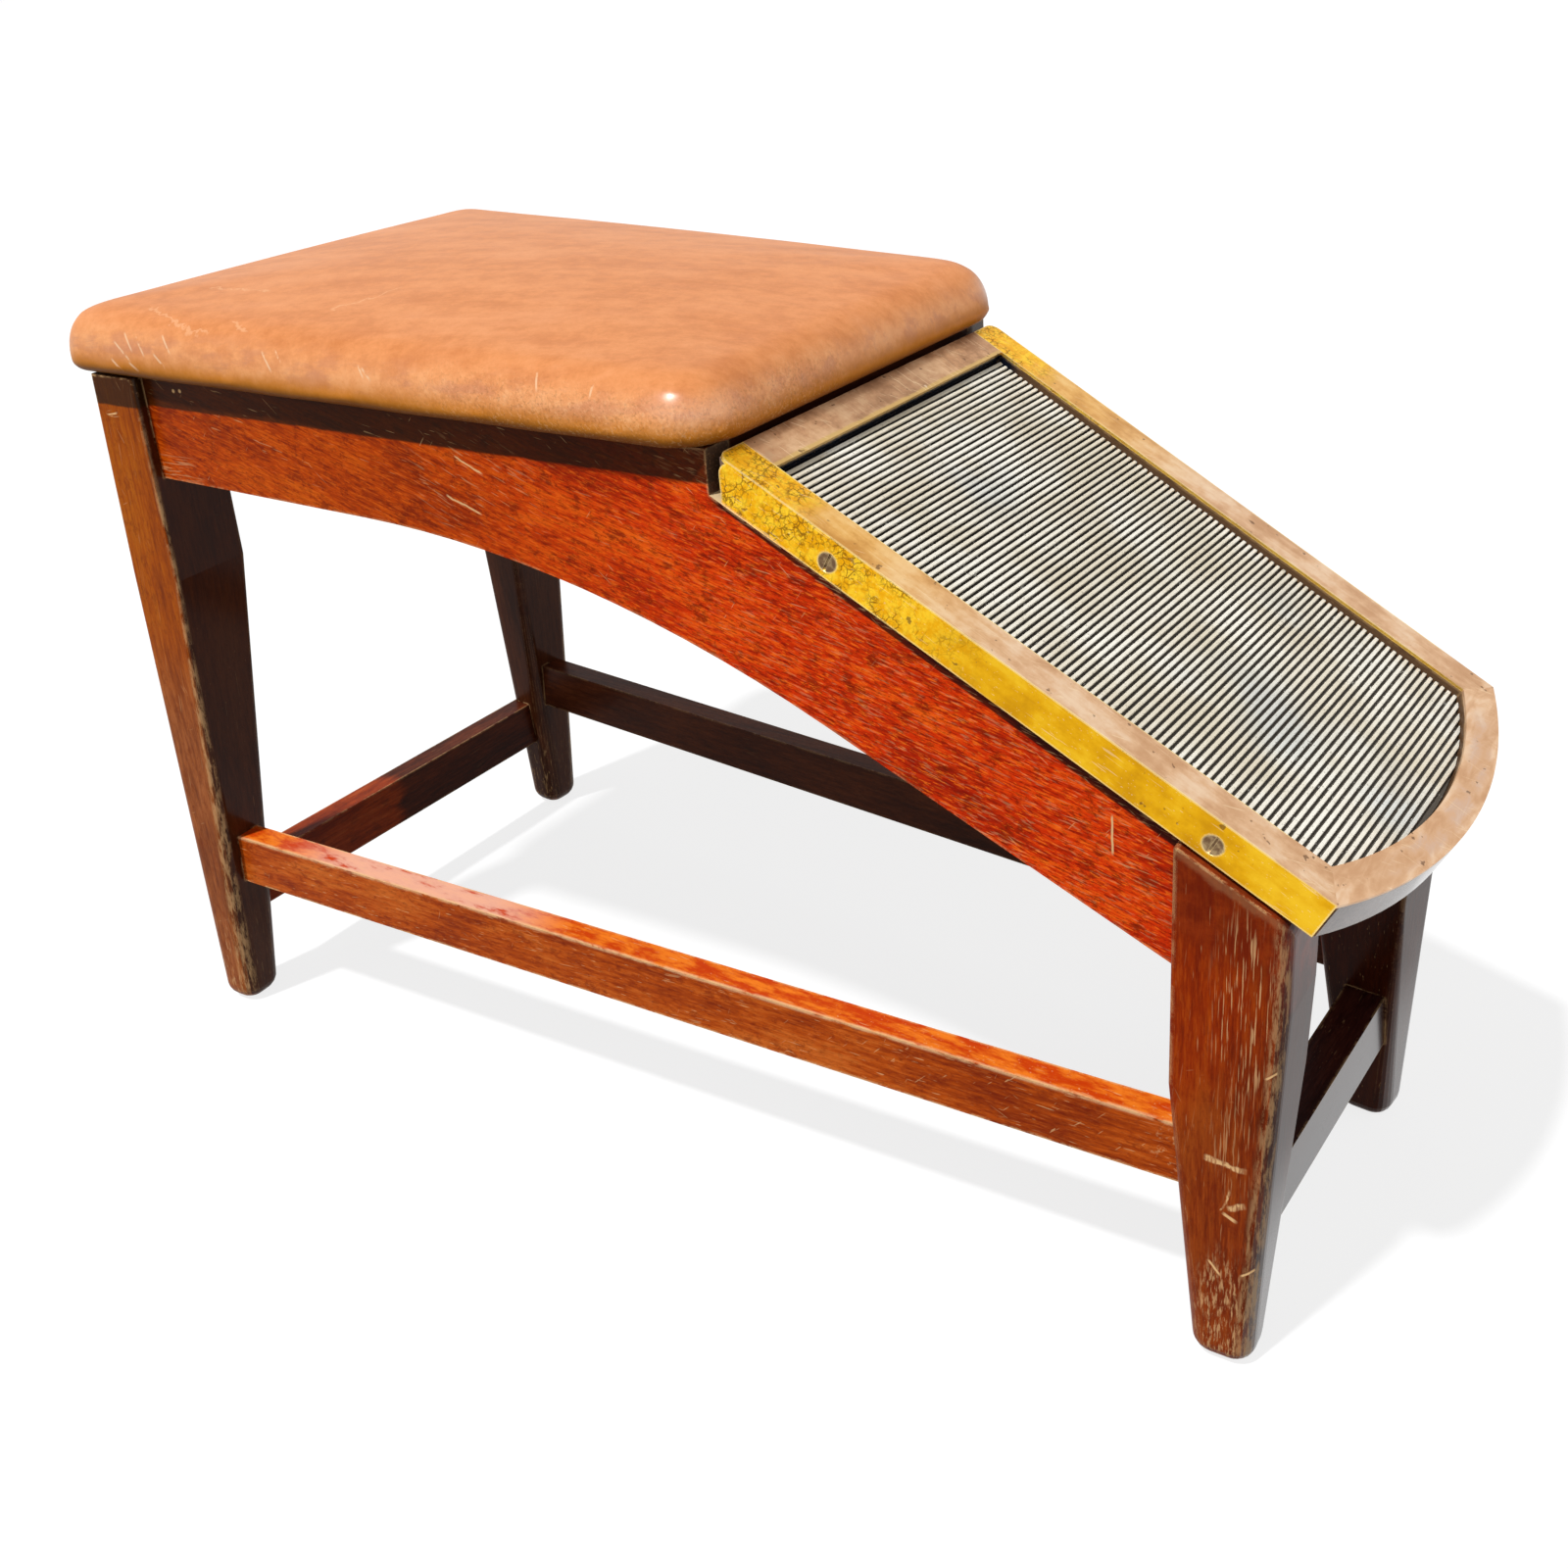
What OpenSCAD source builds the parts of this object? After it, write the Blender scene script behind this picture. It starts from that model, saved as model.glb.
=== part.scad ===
// Shoe fitting stool: a padded seat at the back and a ribbed ramp, edged in brass, that slopes
// down to the front. All sizes are millimetres. +X runs from the seat to the ramp, +Y is the
// left of someone who sits facing the ramp, +Z is up, and the feet stand at z = 0.

/* [Frame] */
// Height of the legs and rails under the seat
frame_h = 376.5; // [360:0.5:420]
// Distance from the back of the rear legs to the front of the front legs
frame_l = 611; // [580:0.5:660]
// Width over the rear legs
rear_w = 285.4; // [265:0.2:310]
// Width over the front legs
front_w = 203; // [196:0.2:225]
// Distance from the back of the rear legs to the step where the ramp starts
seat_l = 365.3; // [350:0.1:385]

/* [Rear legs] */
// Fore and aft size of a rear leg under the seat
rear_leg_x = 31.3; // [28:0.1:40]
// Sideways size of a rear leg under the seat
rear_leg_y = 45; // [38:0.5:52]
// Fore and aft size of a rear foot
rear_foot_x = 24; // [18:0.5:28]
// Distance that the back of a rear leg leans out down to the foot
rear_kick = 11; // [0:0.5:15]
// Height at which the front of a rear leg starts to taper
rear_taper_h = 269; // [250:1:310]

/* [Front legs] */
// Fore and aft size of a front leg under the ramp
front_leg_x = 46; // [40:0.5:50]
// Sideways size of a front leg under the ramp
front_leg_y = 40.5; // [34:0.5:44]
// Fore and aft size of a front foot
front_foot_x = 27.5; // [22:0.5:34]
// Distance that the front face of a front leg leans back down to the foot
front_lean = 8; // [0:0.5:14]
// Height at which a front leg starts to taper
front_taper_h = 137; // [120:1:165]
// Height at which the front face of a front leg starts to lean
front_lean_h = 179; // [166:1:200]
// Radius of the front corner at the top of a front leg
leg_top_r = 13; // [4:0.5:16]
// Gap between a front leg's top and the ramp board
leg_top_gap = 2.2; // [0.5:0.1:3]

/* [Feet] */
// Sideways size of every foot
foot_y = 25; // [20:0.5:28]
// Radius that rounds the bottom of every foot
foot_r = 10; // [4:0.5:11]
// Radius of the four corners of a foot in plan
foot_corner_r = 9; // [4:0.5:11]
// Radius of the corners of a leg in plan
arris_r = 2; // [1:0.5:4]
// Radius of the outer front corner of a front leg in plan
front_arris_r = 7; // [2:0.5:9]

/* [Rails] */
// Thickness of a side rail
rail_t = 21; // [16:0.5:25]
// Distance of a side rail's face behind the outer face of the legs
rail_recess = 6; // [3:0.5:9]
// Depth of a side rail at the rear leg
rail_rear_d = 52.5; // [44:0.5:60]
// Depth of a side rail at its bend
rail_bend_d = 58.5; // [52:0.5:66]
// Depth of a side rail at the front leg
rail_front_d = 59.3; // [48:0.1:66]
// Distance from the back of the rear legs to the bend of a side rail
rail_bend_l = 298; // [280:1:320]
// Radius of the bend under a side rail
rail_bend_r = 600; // [300:10:700]
// Thickness of the rails that cross the seat
cross_rail_t = 20; // [16:0.5:24]
// Depth of the rails that cross the seat
cross_rail_d = 46; // [36:0.5:52]
// Distance of the rear rail in front of the back of the legs
rear_rail_set = 6; // [3:0.5:8]

/* [Stretchers] */
// Thickness of a stretcher
stretcher_t = 14; // [12:0.5:16]
// Depth of a stretcher
stretcher_d = 28.9; // [24:0.1:34]
// Thickness of the front stretcher
front_stretcher_t = 19.5; // [14:0.5:22]
// Height of the underside of a side stretcher
stretcher_z = 80.9; // [75:0.1:110]
// Distance of a side stretcher's face behind the outer face of the legs
stretcher_recess = 10; // [6:0.5:11]
// Distance of the rear stretcher in front of the back of the rear legs
rear_stretcher_set = 1; // [0.5:0.5:3]
// Distance of the front stretcher behind the front of the front legs
front_stretcher_set = 7; // [5:0.5:9]

/* [Seat] */
// Distance that the cushion passes the back of the rear legs
seat_over_rear = 20.5; // [10:0.1:25]
// Distance that the cushion passes the step at the front of the seat
seat_over_front = 7; // [0:0.1:8]
// Distance that the cushion's rear corners pass the outer faces of the legs
seat_side_rear = 2.5; // [-4:0.1:6]
// Distance that the cushion's front corners pass the outer faces of the legs
seat_side_front = 4.2; // [0:0.1:10]
// Thickness of the cushion's rim at the rear
seat_rear_t = 31.6; // [27:0.1:36]
// Thickness of the cushion's rim at the front
seat_front_t = 28; // [27:0.1:32]
// Height of the crown above the rim
seat_crown = 9.5; // [4:0.5:16]
// Radius of the front corners of the cushion in plan
seat_front_r = 25; // [15:0.5:30]
// Radius of the rear corners of the cushion in plan
seat_rear_r = 18; // [8:0.5:30]
// Width of the roll at the top of the rim
roll_top_w = 26; // [12:0.5:30]
// Height of the roll at the top of the rim
roll_top_h = 18; // [8:0.5:18]
// Radius of the drawn in roll at the bottom of the rim
roll_low_r = 8; // [5:0.5:8]
// Thickness of the leather
leather_t = 1.6; // [1:0.1:2]
// Width of the leather that is turned under the seat board
turn_under = 26; // [24:1:40]
// Thickness of the seat board
seat_board_t = 6.5; // [5:0.1:7]

/* [Ramp] */
// Slope of the ramp in degrees
ramp_angle = 28.3; // [26:0.1:30]
// Height of the step at the front of the seat
riser_h = 19.6; // [17:0.1:24]
// Gap between the step and the rear edge of the ramp
ramp_gap = 5.2; // [2:0.1:7]
// Length of the ramp's straight sides, along the slope
ramp_l = 291; // [280:1:310]
// Distance of the ramp's top corners inside the outer faces of the legs
ramp_in_rear = 6.5; // [3:0.1:8]
// Distance of the ramp's bottom corners inside the outer faces of the legs
ramp_in_front = 0.5; // [0.1:0.1:4]
// Distance that the bowed front passes the bottom corners
bow_rise = 23.4; // [15:0.2:30]
// Thickness of the ramp board
board_t = 16.7; // [14:0.1:20]

/* [Brass] */
// Thickness of the brass
brass_t = 1.5; // [1:0.1:2]
// Width of the top flange of a side angle
flange_w = 17.6; // [14:0.1:20]
// Width of the bar across the top of the ramp
bar_w = 17.7; // [14:0.1:20]
// Width of the bowed plate at its middle
bow_w = 14; // [12:0.2:17]
// Distance that the inner edge of the bowed plate bulges
bow_inner_rise = 19; // [10:0.2:22]
// Radius of the rear corner of a side angle
angle_corner_r = 5; // [2:0.5:8]
// Diameter of a screw head
screw_head_d = 8.6; // [7:0.1:9]
// Diameter of a screw shank
screw_shank_d = 4; // [3:0.1:4.5]
// Length of a screw
screw_l = 19; // [12:0.5:25]
// Width of the slot in a screw head
screw_slot_w = 1.1; // [0.8:0.1:1.4]
// Depth of the slot in a screw head
screw_slot_d = 0.9; // [0.5:0.1:1.1]
// Distance from the rear end of a side angle to its first screw
screw_rear_l = 61.5; // [40:0.5:80]
// Distance from the front end of a side angle to its last screw
screw_front_l = 47.2; // [30:0.1:90]
// Distance of the screws below the top of a side angle
screw_drop = 11; // [9:0.1:12]

/* [Mat] */
// Distance from the crests of the ribs up to the top of the brass
mat_sink = 4.6; // [3:0.1:6]
// Thickness of the mat with its ribs
mat_t = 3.4; // [3:0.1:4]
// Height of a rib
rib_h = 1.6; // [1:0.1:1.8]
// Distance between one rib and the next
rib_pitch = 3.175; // [3:0.025:4]
// Width of a rib at its crest
rib_crest_w = 1.3; // [0.8:0.1:1.5]
// Width of a rib at its root
rib_root_w = 2.1; // [1.6:0.1:2.4]

/* [Fixings under the seat and ramp] */
// Side of a square cleat
cleat_s = 18; // [14:0.5:22]
// Length of a seat cleat
seat_cleat_l = 200; // [120:5:240]
// Length of a ramp cleat
ramp_cleat_l = 130; // [90:5:150]
// Distance from the rear legs to a seat cleat
seat_cleat_set = 60; // [45:1:80]
// Distance along the slope from the top of the ramp to a ramp cleat
ramp_cleat_set = 45; // [40:1:60]
// Distance of a fixing screw from the end of its cleat
fixing_set = 20; // [12:1:30]
// Diameter of a fixing screw's head
fixing_head_d = 7.4; // [6:0.1:8]
// Diameter of a fixing screw's shank
fixing_shank_d = 3.6; // [3:0.1:4]
// Distance that a fixing screw enters the board that it holds
fixing_bite = 5; // [3:0.5:6]
// Width of a glue block beside a front leg
glue_block_w = 10; // [6:0.5:14]
// Depth of a glue block beside a front leg
glue_block_d = 9; // [6:0.5:12]

/* [Hidden] */

// Depth that a rail or stretcher is housed in the leg or rail that carries it
housing = 5.5;
// Clearance round a housed end
joint_clear = 0.1;
// Gap that a soft piece keeps to its neighbours
soft_clear = 0.3;
// Clearance between the mat and the walls of its recess
mat_clear = 0.3;
// Clearance round a screw
screw_clear = 0.1;
// Length by which a cut passes the face that it opens
over = 1;
// Length that a blank has in spare before it is trimmed
spare = 60;
// Radius that eases the upper corners of a leg
ease_r = 1.5;
// Segments in a rounded corner of an outline
arc_n = 6;
// Segments in a corner of a leg and in the rounding of a foot
foot_n = 6;
// Thickness of the sections that shape a leg
thin = 0.05;
// Segments in the long bend of a side rail
bend_n = 14;
// Segments in a round hole, a screw or a bow
round_n = 72;
// Rings in each roll of the cushion and in its crown
roll_n = 4;
crown_n = 5;
// Segments in a corner of the cushion in plan
seat_arc_n = 4;
// Shares of a side of the cushion where its outline has a point
side_shares = [0.25, 0.5, 0.75];
// Power that shapes the crown
crown_power = 4;
// Share of the cushion's size at which the crown is closed with a flat
crown_flat_share = 0.1;
// Share of a front leg's inner corner that the glue block's slant keeps
slant_share = 0.25;

taper = atan((rear_w - front_w) / 2 / frame_l);
side_l = frame_l / cos(taper);
function frame_half(x) = rear_w / 2 - x * tan(taper);
ramp_t = board_t + brass_t;
ramp_x = seat_l + ramp_gap;
seat_plane_z = frame_h - riser_h;
ramp_z = seat_plane_z + ramp_t / cos(ramp_angle) - ramp_gap * tan(ramp_angle);
apex_x = ramp_x + (ramp_l + bow_rise) * cos(ramp_angle);
centre_x = (apex_x - seat_over_rear) / 2;
ramp_rear_w = 2 * (frame_half(ramp_x) - ramp_in_rear);
ramp_front_w = 2 * (frame_half(ramp_x + ramp_l * cos(ramp_angle)) - ramp_in_front);

// Corners of an outline rounded: each point is [x, y, radius]
function unit(v) = v / norm(v);
function corner_arc(a, b, c, r, n) =
  let (u = unit(a - b))
  let (v = unit(c - b))
  let (half = acos(u * v) / 2)
  let (centre = b + unit(u + v) * r / sin(half))
  let (start = b + u * r / tan(half) - centre)
  let (turn = (180 - 2 * half) * sign(u[0] * v[1] - u[1] * v[0]))
  [for (i = [0 : n])
    let (t = -turn * i / n)
    centre + [start[0] * cos(t) - start[1] * sin(t), start[0] * sin(t) + start[1] * cos(t)]];
function flat(p) = [p[0], p[1]];
function rounded(pts, n = arc_n) =
  let (m = len(pts))
  [for (i = [0 : m - 1])
    let (b = pts[i])
    let (a = pts[(i + m - 1) % m])
    let (c = pts[(i + 1) % m])
    each b[2] > 0 ? corner_arc(flat(a), flat(b), flat(c), b[2], n) : [flat(b)]];

// A side view outline in x and z, spread from one y to another
module side_plate(pts, y0, y1) {
  translate([0, y1, 0])
    rotate([90, 0, 0])
      linear_extrude(y1 - y0)
        polygon(pts);
}

// A front view outline in y and z, spread from one x to another
module front_plate(pts, x0, x1) {
  translate([x0, 0, 0])
    rotate([90, 0, 90])
      linear_extrude(x1 - x0)
        polygon(pts);
}

// The whole stool is moved so that its middle is over the origin
module place() {
  translate([-centre_x, 0, 0])
    children();
}

// The right side frame stands on the line of its legs' outer faces: x runs forwards, y inwards
module on_side() {
  translate([0, -rear_w / 2, 0])
    rotate([0, 0, taper])
      children();
}

module left() {
  mirror([0, 1, 0])
    children();
}

// Ramp coordinates: x runs down the slope from the top edge, z is square to the brass
module on_ramp() {
  translate([ramp_x, 0, ramp_z])
    rotate([0, ramp_angle, 0])
      children();
}

// Height of the ramp board's underside above a place on the floor
function underside_z(x) = seat_plane_z - (x - seat_l) * tan(ramp_angle);

// Everything in front of the step and above the underside of the ramp board
module above_ramp_seat() {
  far_x = frame_l + spare;
  side_plate([
    [seat_l, underside_z(seat_l)],
    [far_x, underside_z(far_x)],
    [far_x, frame_h + spare],
    [seat_l, frame_h + spare]
  ], -rear_w, rear_w);
}

// Side view outlines of the legs, and the slope along a side frame
side_slope = tan(ramp_angle) * cos(taper);
leg_plane_z = underside_z(0) - leg_top_gap / cos(ramp_angle);
function leg_top_z(x) = leg_plane_z - x * side_slope;
front_back_x = side_l - front_leg_x;
front_foot_end = side_l - front_lean;

// A leg is a stack of sections over a rounded foot: each section is [height, x0, x1, y1]
function section_plan(x0, x1, y0, y1, r, front_r) =
  rounded([[x0, y0, r], [x1, y0, front_r], [x1, y1, r], [x0, y1, r]], foot_n);

module section(s, front_r) {
  translate([0, 0, s[0]])
    linear_extrude(thin)
      polygon(section_plan(s[1], s[2], 0, s[3], arris_r, front_r));
}

module foot(x0, x1) {
  for (k = [0 : foot_n]) {
    t = 90 * k / foot_n;
    inset = foot_r * (1 - cos(t));
    corner_r = foot_corner_r * (1 - 2 * inset / foot_y);
    translate([0, 0, foot_r * (1 - sin(t))])
      linear_extrude(thin)
        polygon(section_plan(x0 + inset, x1 - inset, inset, foot_y - inset, corner_r, corner_r));
  }
}

module leg_stack(foot_x0, foot_x1, sections, front_r) {
  hull() {
    foot(foot_x0, foot_x1);
    section(sections[0], front_r);
  }
  for (i = [1 : len(sections) - 1])
    hull() {
      section(sections[i - 1], front_r);
      section(sections[i], front_r);
    }
}

module rear_leg_blank() {
  leg_stack(-rear_kick, rear_foot_x - rear_kick, [
    [rear_taper_h, rear_back_x(rear_taper_h), rear_leg_x, rear_leg_y],
    [frame_h - thin, 0, rear_leg_x, rear_leg_y]
  ], arris_r);
}

// The top of a front leg is trimmed to the slope of the ramp
module front_leg_blank() {
  top = leg_top_z(front_back_x);
  intersection() {
    side_plate(rounded([
      [front_back_x, top, ease_r],
      [side_l, leg_top_z(side_l), leg_top_r],
      [side_l, 0, 0],
      [front_back_x, 0, 0]
    ]), 0, front_leg_y);
    leg_stack(front_foot_end - front_foot_x, front_foot_end, [
      [front_taper_h, front_back_x, front_face_x(front_taper_h), front_leg_y],
      [front_lean_h, front_back_x, side_l, front_leg_y],
      [top, front_back_x, side_l, front_leg_y]
    ], front_arris_r);
  }
}

// Place of a leg's tapering face at a height
function between(a, b, share) = a + (b - a) * share;
function rear_front_x(z) = between(rear_foot_x - rear_kick, rear_leg_x, min(1, z / rear_taper_h));
function rear_back_x(z) = between(-rear_kick, 0, z / frame_h);
function rear_inner_y(z) = between(foot_y, rear_leg_y, min(1, z / rear_taper_h));
function front_rear_x(z) =
  between(front_foot_end - front_foot_x, front_back_x, min(1, z / front_taper_h));
function front_face_x(z) = side_l - front_lean * (1 - min(1, z / front_lean_h));
function front_inner_y(z) = between(foot_y, front_leg_y, min(1, z / front_taper_h));

// Side rail: level under the seat, then down with the ramp
module side_rail_bar(grow = 0) {
  x0 = rear_leg_x - housing;
  x1 = front_back_x + housing;
  low0 = frame_h - rail_rear_d;
  low1 = frame_h - rail_bend_d;
  low2 = underside_z(front_back_x) - rail_front_d;
  fall = (low1 - low2) / (front_back_x - rail_bend_l);
  low = concat(
    [[x0 - grow, low0 - grow]],
    corner_arc([x0, low0 - grow], [rail_bend_l, low1 - grow],
      [front_back_x, low2 - grow], rail_bend_r, bend_n),
    [[x1 + grow, low2 - housing * fall - grow]]
  );
  side_plate(concat(low, [[x1 + grow, frame_h + grow], [x0 - grow, frame_h + grow]]),
    rail_recess - grow, rail_recess + rail_t + grow);
}

// The rails and stretchers that run across
rear_rail_half = rear_w / 2 - rear_leg_y + housing;
module rear_rail_bar(grow = 0) {
  translate([rear_rail_set - grow, -rear_rail_half, frame_h - cross_rail_d - grow])
    cube([cross_rail_t + 2 * grow, 2 * rear_rail_half, cross_rail_d + 2 * grow]);
}

cross_rail_half = frame_half(seat_l) - (rail_recess + rail_t) / cos(taper) + housing;
module cross_rail_bar(grow = 0) {
  translate([seat_l - cross_rail_t - grow, -cross_rail_half, frame_h - cross_rail_d - grow])
    cube([cross_rail_t + 2 * grow, 2 * cross_rail_half, cross_rail_d + 2 * grow]);
}

cross_stretcher_z = stretcher_z - stretcher_d;
cross_mid_z = cross_stretcher_z + stretcher_d / 2;
module cross_bar(x, t, half, grow) {
  translate([x - grow, -half, cross_stretcher_z - grow])
    cube([t + 2 * grow, 2 * half, stretcher_d + 2 * grow]);
}

rear_stretcher_x = rear_back_x(cross_mid_z) + rear_stretcher_set;
rear_stretcher_half = rear_w / 2 - rear_inner_y(cross_mid_z) + housing;
module rear_stretcher_bar(grow = 0) {
  cross_bar(rear_stretcher_x, stretcher_t, rear_stretcher_half, grow);
}

front_stretcher_x =
  front_face_x(cross_mid_z) * cos(taper) - front_stretcher_set - front_stretcher_t;
front_stretcher_half = frame_half(front_stretcher_x) - front_inner_y(cross_mid_z) + housing;
module front_stretcher_bar(grow = 0) {
  cross_bar(front_stretcher_x, front_stretcher_t, front_stretcher_half, grow);
}

// Side stretcher, housed in both legs
module side_stretcher_bar(grow = 0) {
  x0 = rear_front_x(stretcher_z) - housing - grow;
  x1 = front_rear_x(stretcher_z) + housing + grow;
  translate([x0, stretcher_recess - grow, stretcher_z - grow])
    cube([x1 - x0, stretcher_t + 2 * grow, stretcher_d + 2 * grow]);
}

module rear_leg_shape() {
  color("saddlebrown")
    difference() {
      on_side()
        rear_leg_blank();
      on_side()
        side_rail_bar(joint_clear);
      on_side()
        side_stretcher_bar(joint_clear);
      rear_rail_bar(joint_clear);
      rear_stretcher_bar(joint_clear);
    }
}

module front_leg_shape() {
  color([0.35, 0.12, 0.06])
    difference() {
      on_side()
        front_leg_blank();
      on_side()
        side_rail_bar(joint_clear);
      on_side()
        side_stretcher_bar(joint_clear);
      front_stretcher_bar(joint_clear);
    }
}

module side_rail_shape() {
  color([0.7, 0.25, 0.08])
    difference() {
      on_side()
        side_rail_bar();
      above_ramp_seat();
      cross_rail_bar(joint_clear);
    }
}

module side_stretcher_shape() {
  color("sienna")
    on_side()
      side_stretcher_bar();
}

// Cushion outline in plan at an inset, as points with corner arcs
seat_x0 = -seat_over_rear;
seat_x1 = seat_l + seat_over_front;
seat_mid_x = (seat_x0 + seat_x1) / 2;
function seat_half(x) = between(frame_half(0) + seat_side_rear, frame_half(seat_l) + seat_side_front,
  (x - seat_x0) / (seat_x1 - seat_x0));
function seat_plan(inset) =
  let (a = seat_x0 + inset)
  let (b = seat_x1 - inset)
  let (ya = seat_half(a) - inset)
  let (yb = seat_half(b) - inset)
  let (ra = max(seat_rear_r - inset, soft_clear))
  let (rb = max(seat_front_r - inset, soft_clear))
  let (corners = [[b, -yb, rb], [b, yb, rb], [a, ya, ra], [a, -ya, ra]])
  rounded([for (i = [0 : 3])
    let (p = corners[i])
    let (q = corners[(i + 1) % 4])
    each concat([p], [for (s = side_shares)
      [between(p[0], q[0], s), between(p[1], q[1], s), 0]])], seat_arc_n);
function seat_top(x) =
  between(seat_rear_t, seat_front_t, (x - seat_x0) / (seat_x1 - seat_x0));
function lift(plan, z) = [for (p = plan) [p[0], p[1], z]];

// Heights are measured from the underside of the cover
cover_z = frame_h + soft_clear;
board_z = cover_z + leather_t + soft_clear;
padding_z = board_z + seat_board_t + soft_clear;

// Rings of the cushion's surface, from the crown down to the rim, with a skin taken off
crown_half_l = (seat_x1 - seat_x0) / 2 - roll_top_w;
function crown(x, y) =
  let (u = min(1, abs(x - seat_mid_x) / crown_half_l))
  let (v = min(1, abs(y) / (seat_half(x) - roll_top_w)))
  seat_crown * (1 - pow(u, crown_power)) * (1 - pow(v, crown_power));
function crown_ring(k, skin) =
  let (f = between(crown_flat_share, 1, k / crown_n))
  [for (p = seat_plan(roll_top_w))
    let (x = seat_mid_x + (p[0] - seat_mid_x) * f)
    let (y = p[1] * f)
    [x, y, cover_z + seat_top(x) - skin + crown(x, y)]];
function roll_ring(k, skin) =
  let (t = 90 * (1 - k / roll_n))
  let (w = roll_top_w - skin)
  let (h = roll_top_h - skin)
  [for (p = seat_plan(skin + w * (1 - cos(t))))
    [p[0], p[1], cover_z + seat_top(p[0]) - skin - h * (1 - sin(t))]];
function low_ring(k, skin) =
  let (t = 90 * k / roll_n)
  let (r = roll_low_r - skin)
  lift(seat_plan(skin + r * (1 - cos(t))), cover_z + skin + r * (1 - sin(t)));
function dome(skin) = concat(
  [for (k = [0 : crown_n]) crown_ring(k, skin)],
  [for (k = [1 : roll_n]) roll_ring(k, skin)]
);
function backwards(v) = [for (i = [len(v) - 1 : -1 : 0]) v[i]];

// One closed skin over a stack of rings, with a flat cap at each end
module skin_over(rings) {
  n = len(rings[0]);
  m = len(rings);
  sides = [for (j = [0 : m - 2]) for (i = [0 : n - 1])
    let (a = j * n + i)
    let (b = j * n + (i + 1) % n)
    each [[a, b, b + n], [a, b + n, a + n]]];
  caps = [for (i = [1 : n - 2])
    each [[0, i + 1, i], [(m - 1) * n, (m - 1) * n + i, (m - 1) * n + i + 1]]];
  polyhedron(points = [for (r = rings) each r], faces = concat(sides, caps));
}

module seat_cover() {
  low = [for (k = [0 : roll_n]) low_ring(k, 0)];
  low_in = [for (k = [0 : roll_n]) low_ring(k, leather_t)];
  color([0.87, 0.61, 0.44])
    place()
      skin_over(concat(
        dome(0),
        low,
        [lift(seat_plan(turn_under), cover_z)],
        [lift(seat_plan(turn_under), cover_z + leather_t)],
        backwards(low_in),
        backwards(dome(leather_t))
      ));
}

module seat_padding() {
  skin = leather_t + soft_clear;
  color("wheat")
    place()
      skin_over(concat(
        dome(skin),
        [lift(seat_plan(skin), padding_z)]
      ));
}

module seat_board() {
  color("burlywood")
    place()
      difference() {
        translate([0, 0, board_z])
          linear_extrude(seat_board_t)
            polygon(seat_plan(roll_low_r));
        seat_screw_set(screw_clear);
      }
}

// A countersunk wood screw that points along -z, with its head's face at z = 0
module screw(head_d, shank_d, length, grow = 0) {
  head_h = (head_d - shank_d) / 2;
  translate([0, 0, -head_h - grow])
    cylinder(h = head_h + grow, d1 = shank_d + 2 * grow, d2 = head_d + 2 * grow, $fn = round_n);
  translate([0, 0, -length - grow])
    cylinder(h = length - head_h + grow, d = shank_d + 2 * grow, $fn = round_n);
  if (grow > 0)
    cylinder(h = over, d = head_d + 2 * grow, $fn = round_n);
}

// Seat cleats run along the inside of the side rails
seat_cleat_x = rear_leg_x + seat_cleat_set;
seat_cleat_y = rail_recess + rail_t;
module seat_cleat_bar() {
  translate([seat_cleat_x, seat_cleat_y, frame_h - cleat_s])
    cube([seat_cleat_l, cleat_s, cleat_s]);
}

seat_screw_l = cleat_s + board_z - frame_h + fixing_bite;
module seat_screw_row(grow) {
  for (x = [seat_cleat_x + fixing_set, seat_cleat_x + seat_cleat_l - fixing_set])
    translate([x, seat_cleat_y + cleat_s / 2, frame_h - cleat_s])
      rotate([180, 0, 0])
        screw(fixing_head_d, fixing_shank_d, seat_screw_l, grow);
}

module seat_screw_set(grow) {
  on_side()
    seat_screw_row(grow);
  left()
    on_side()
      seat_screw_row(grow);
}

module seat_cleat_shape() {
  color("tan")
    difference() {
      on_side()
        seat_cleat_bar();
      on_side()
        seat_screw_row(screw_clear);
    }
}

// Plan of the ramp in ramp coordinates
bow_r = (pow(ramp_front_w / 2, 2) + pow(bow_rise, 2)) / (2 * bow_rise);
bow_x = ramp_l + bow_rise - bow_r;
edge_angle = atan((ramp_rear_w - ramp_front_w) / 2 / ramp_l);
edge_l = ramp_l / cos(edge_angle);
edge_slope = tan(edge_angle);
function ramp_half(x) = ramp_rear_w / 2 - x * edge_slope;
flange_y = flange_w / cos(edge_angle);
inner_x = ramp_l + bow_rise - bow_w - bow_inner_rise;
inner_half = ramp_half(inner_x) - flange_y;
inner_r = (pow(inner_half, 2) + pow(bow_inner_rise, 2)) / (2 * bow_inner_rise);
inner_mid = inner_x + bow_inner_rise - inner_r;

module bow(r, x) {
  translate([x, 0])
    circle(r = r, $fn = 4 * round_n);
}

// Area of the ramp in front of x0 with its sides moved in, cut to a bow
module bowed_area(x0, side, r, middle) {
  far = ramp_l + bow_rise + over;
  intersection() {
    polygon([
      [x0, ramp_half(x0) - side],
      [far, ramp_half(far) - side],
      [far, side - ramp_half(far)],
      [x0, side - ramp_half(x0)]
    ]);
    bow(r, middle);
  }
}

// Area of the opening that the brass leaves, drawn in by a clearance
module opening_plan(clear) {
  bowed_area(bar_w + clear, flange_y + clear, inner_r - clear, inner_mid);
}

// A slab of the ramp between two depths below the top of the brass
module slab(deep, shallow) {
  translate([0, 0, -deep])
    linear_extrude(deep - shallow)
      children();
}

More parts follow.
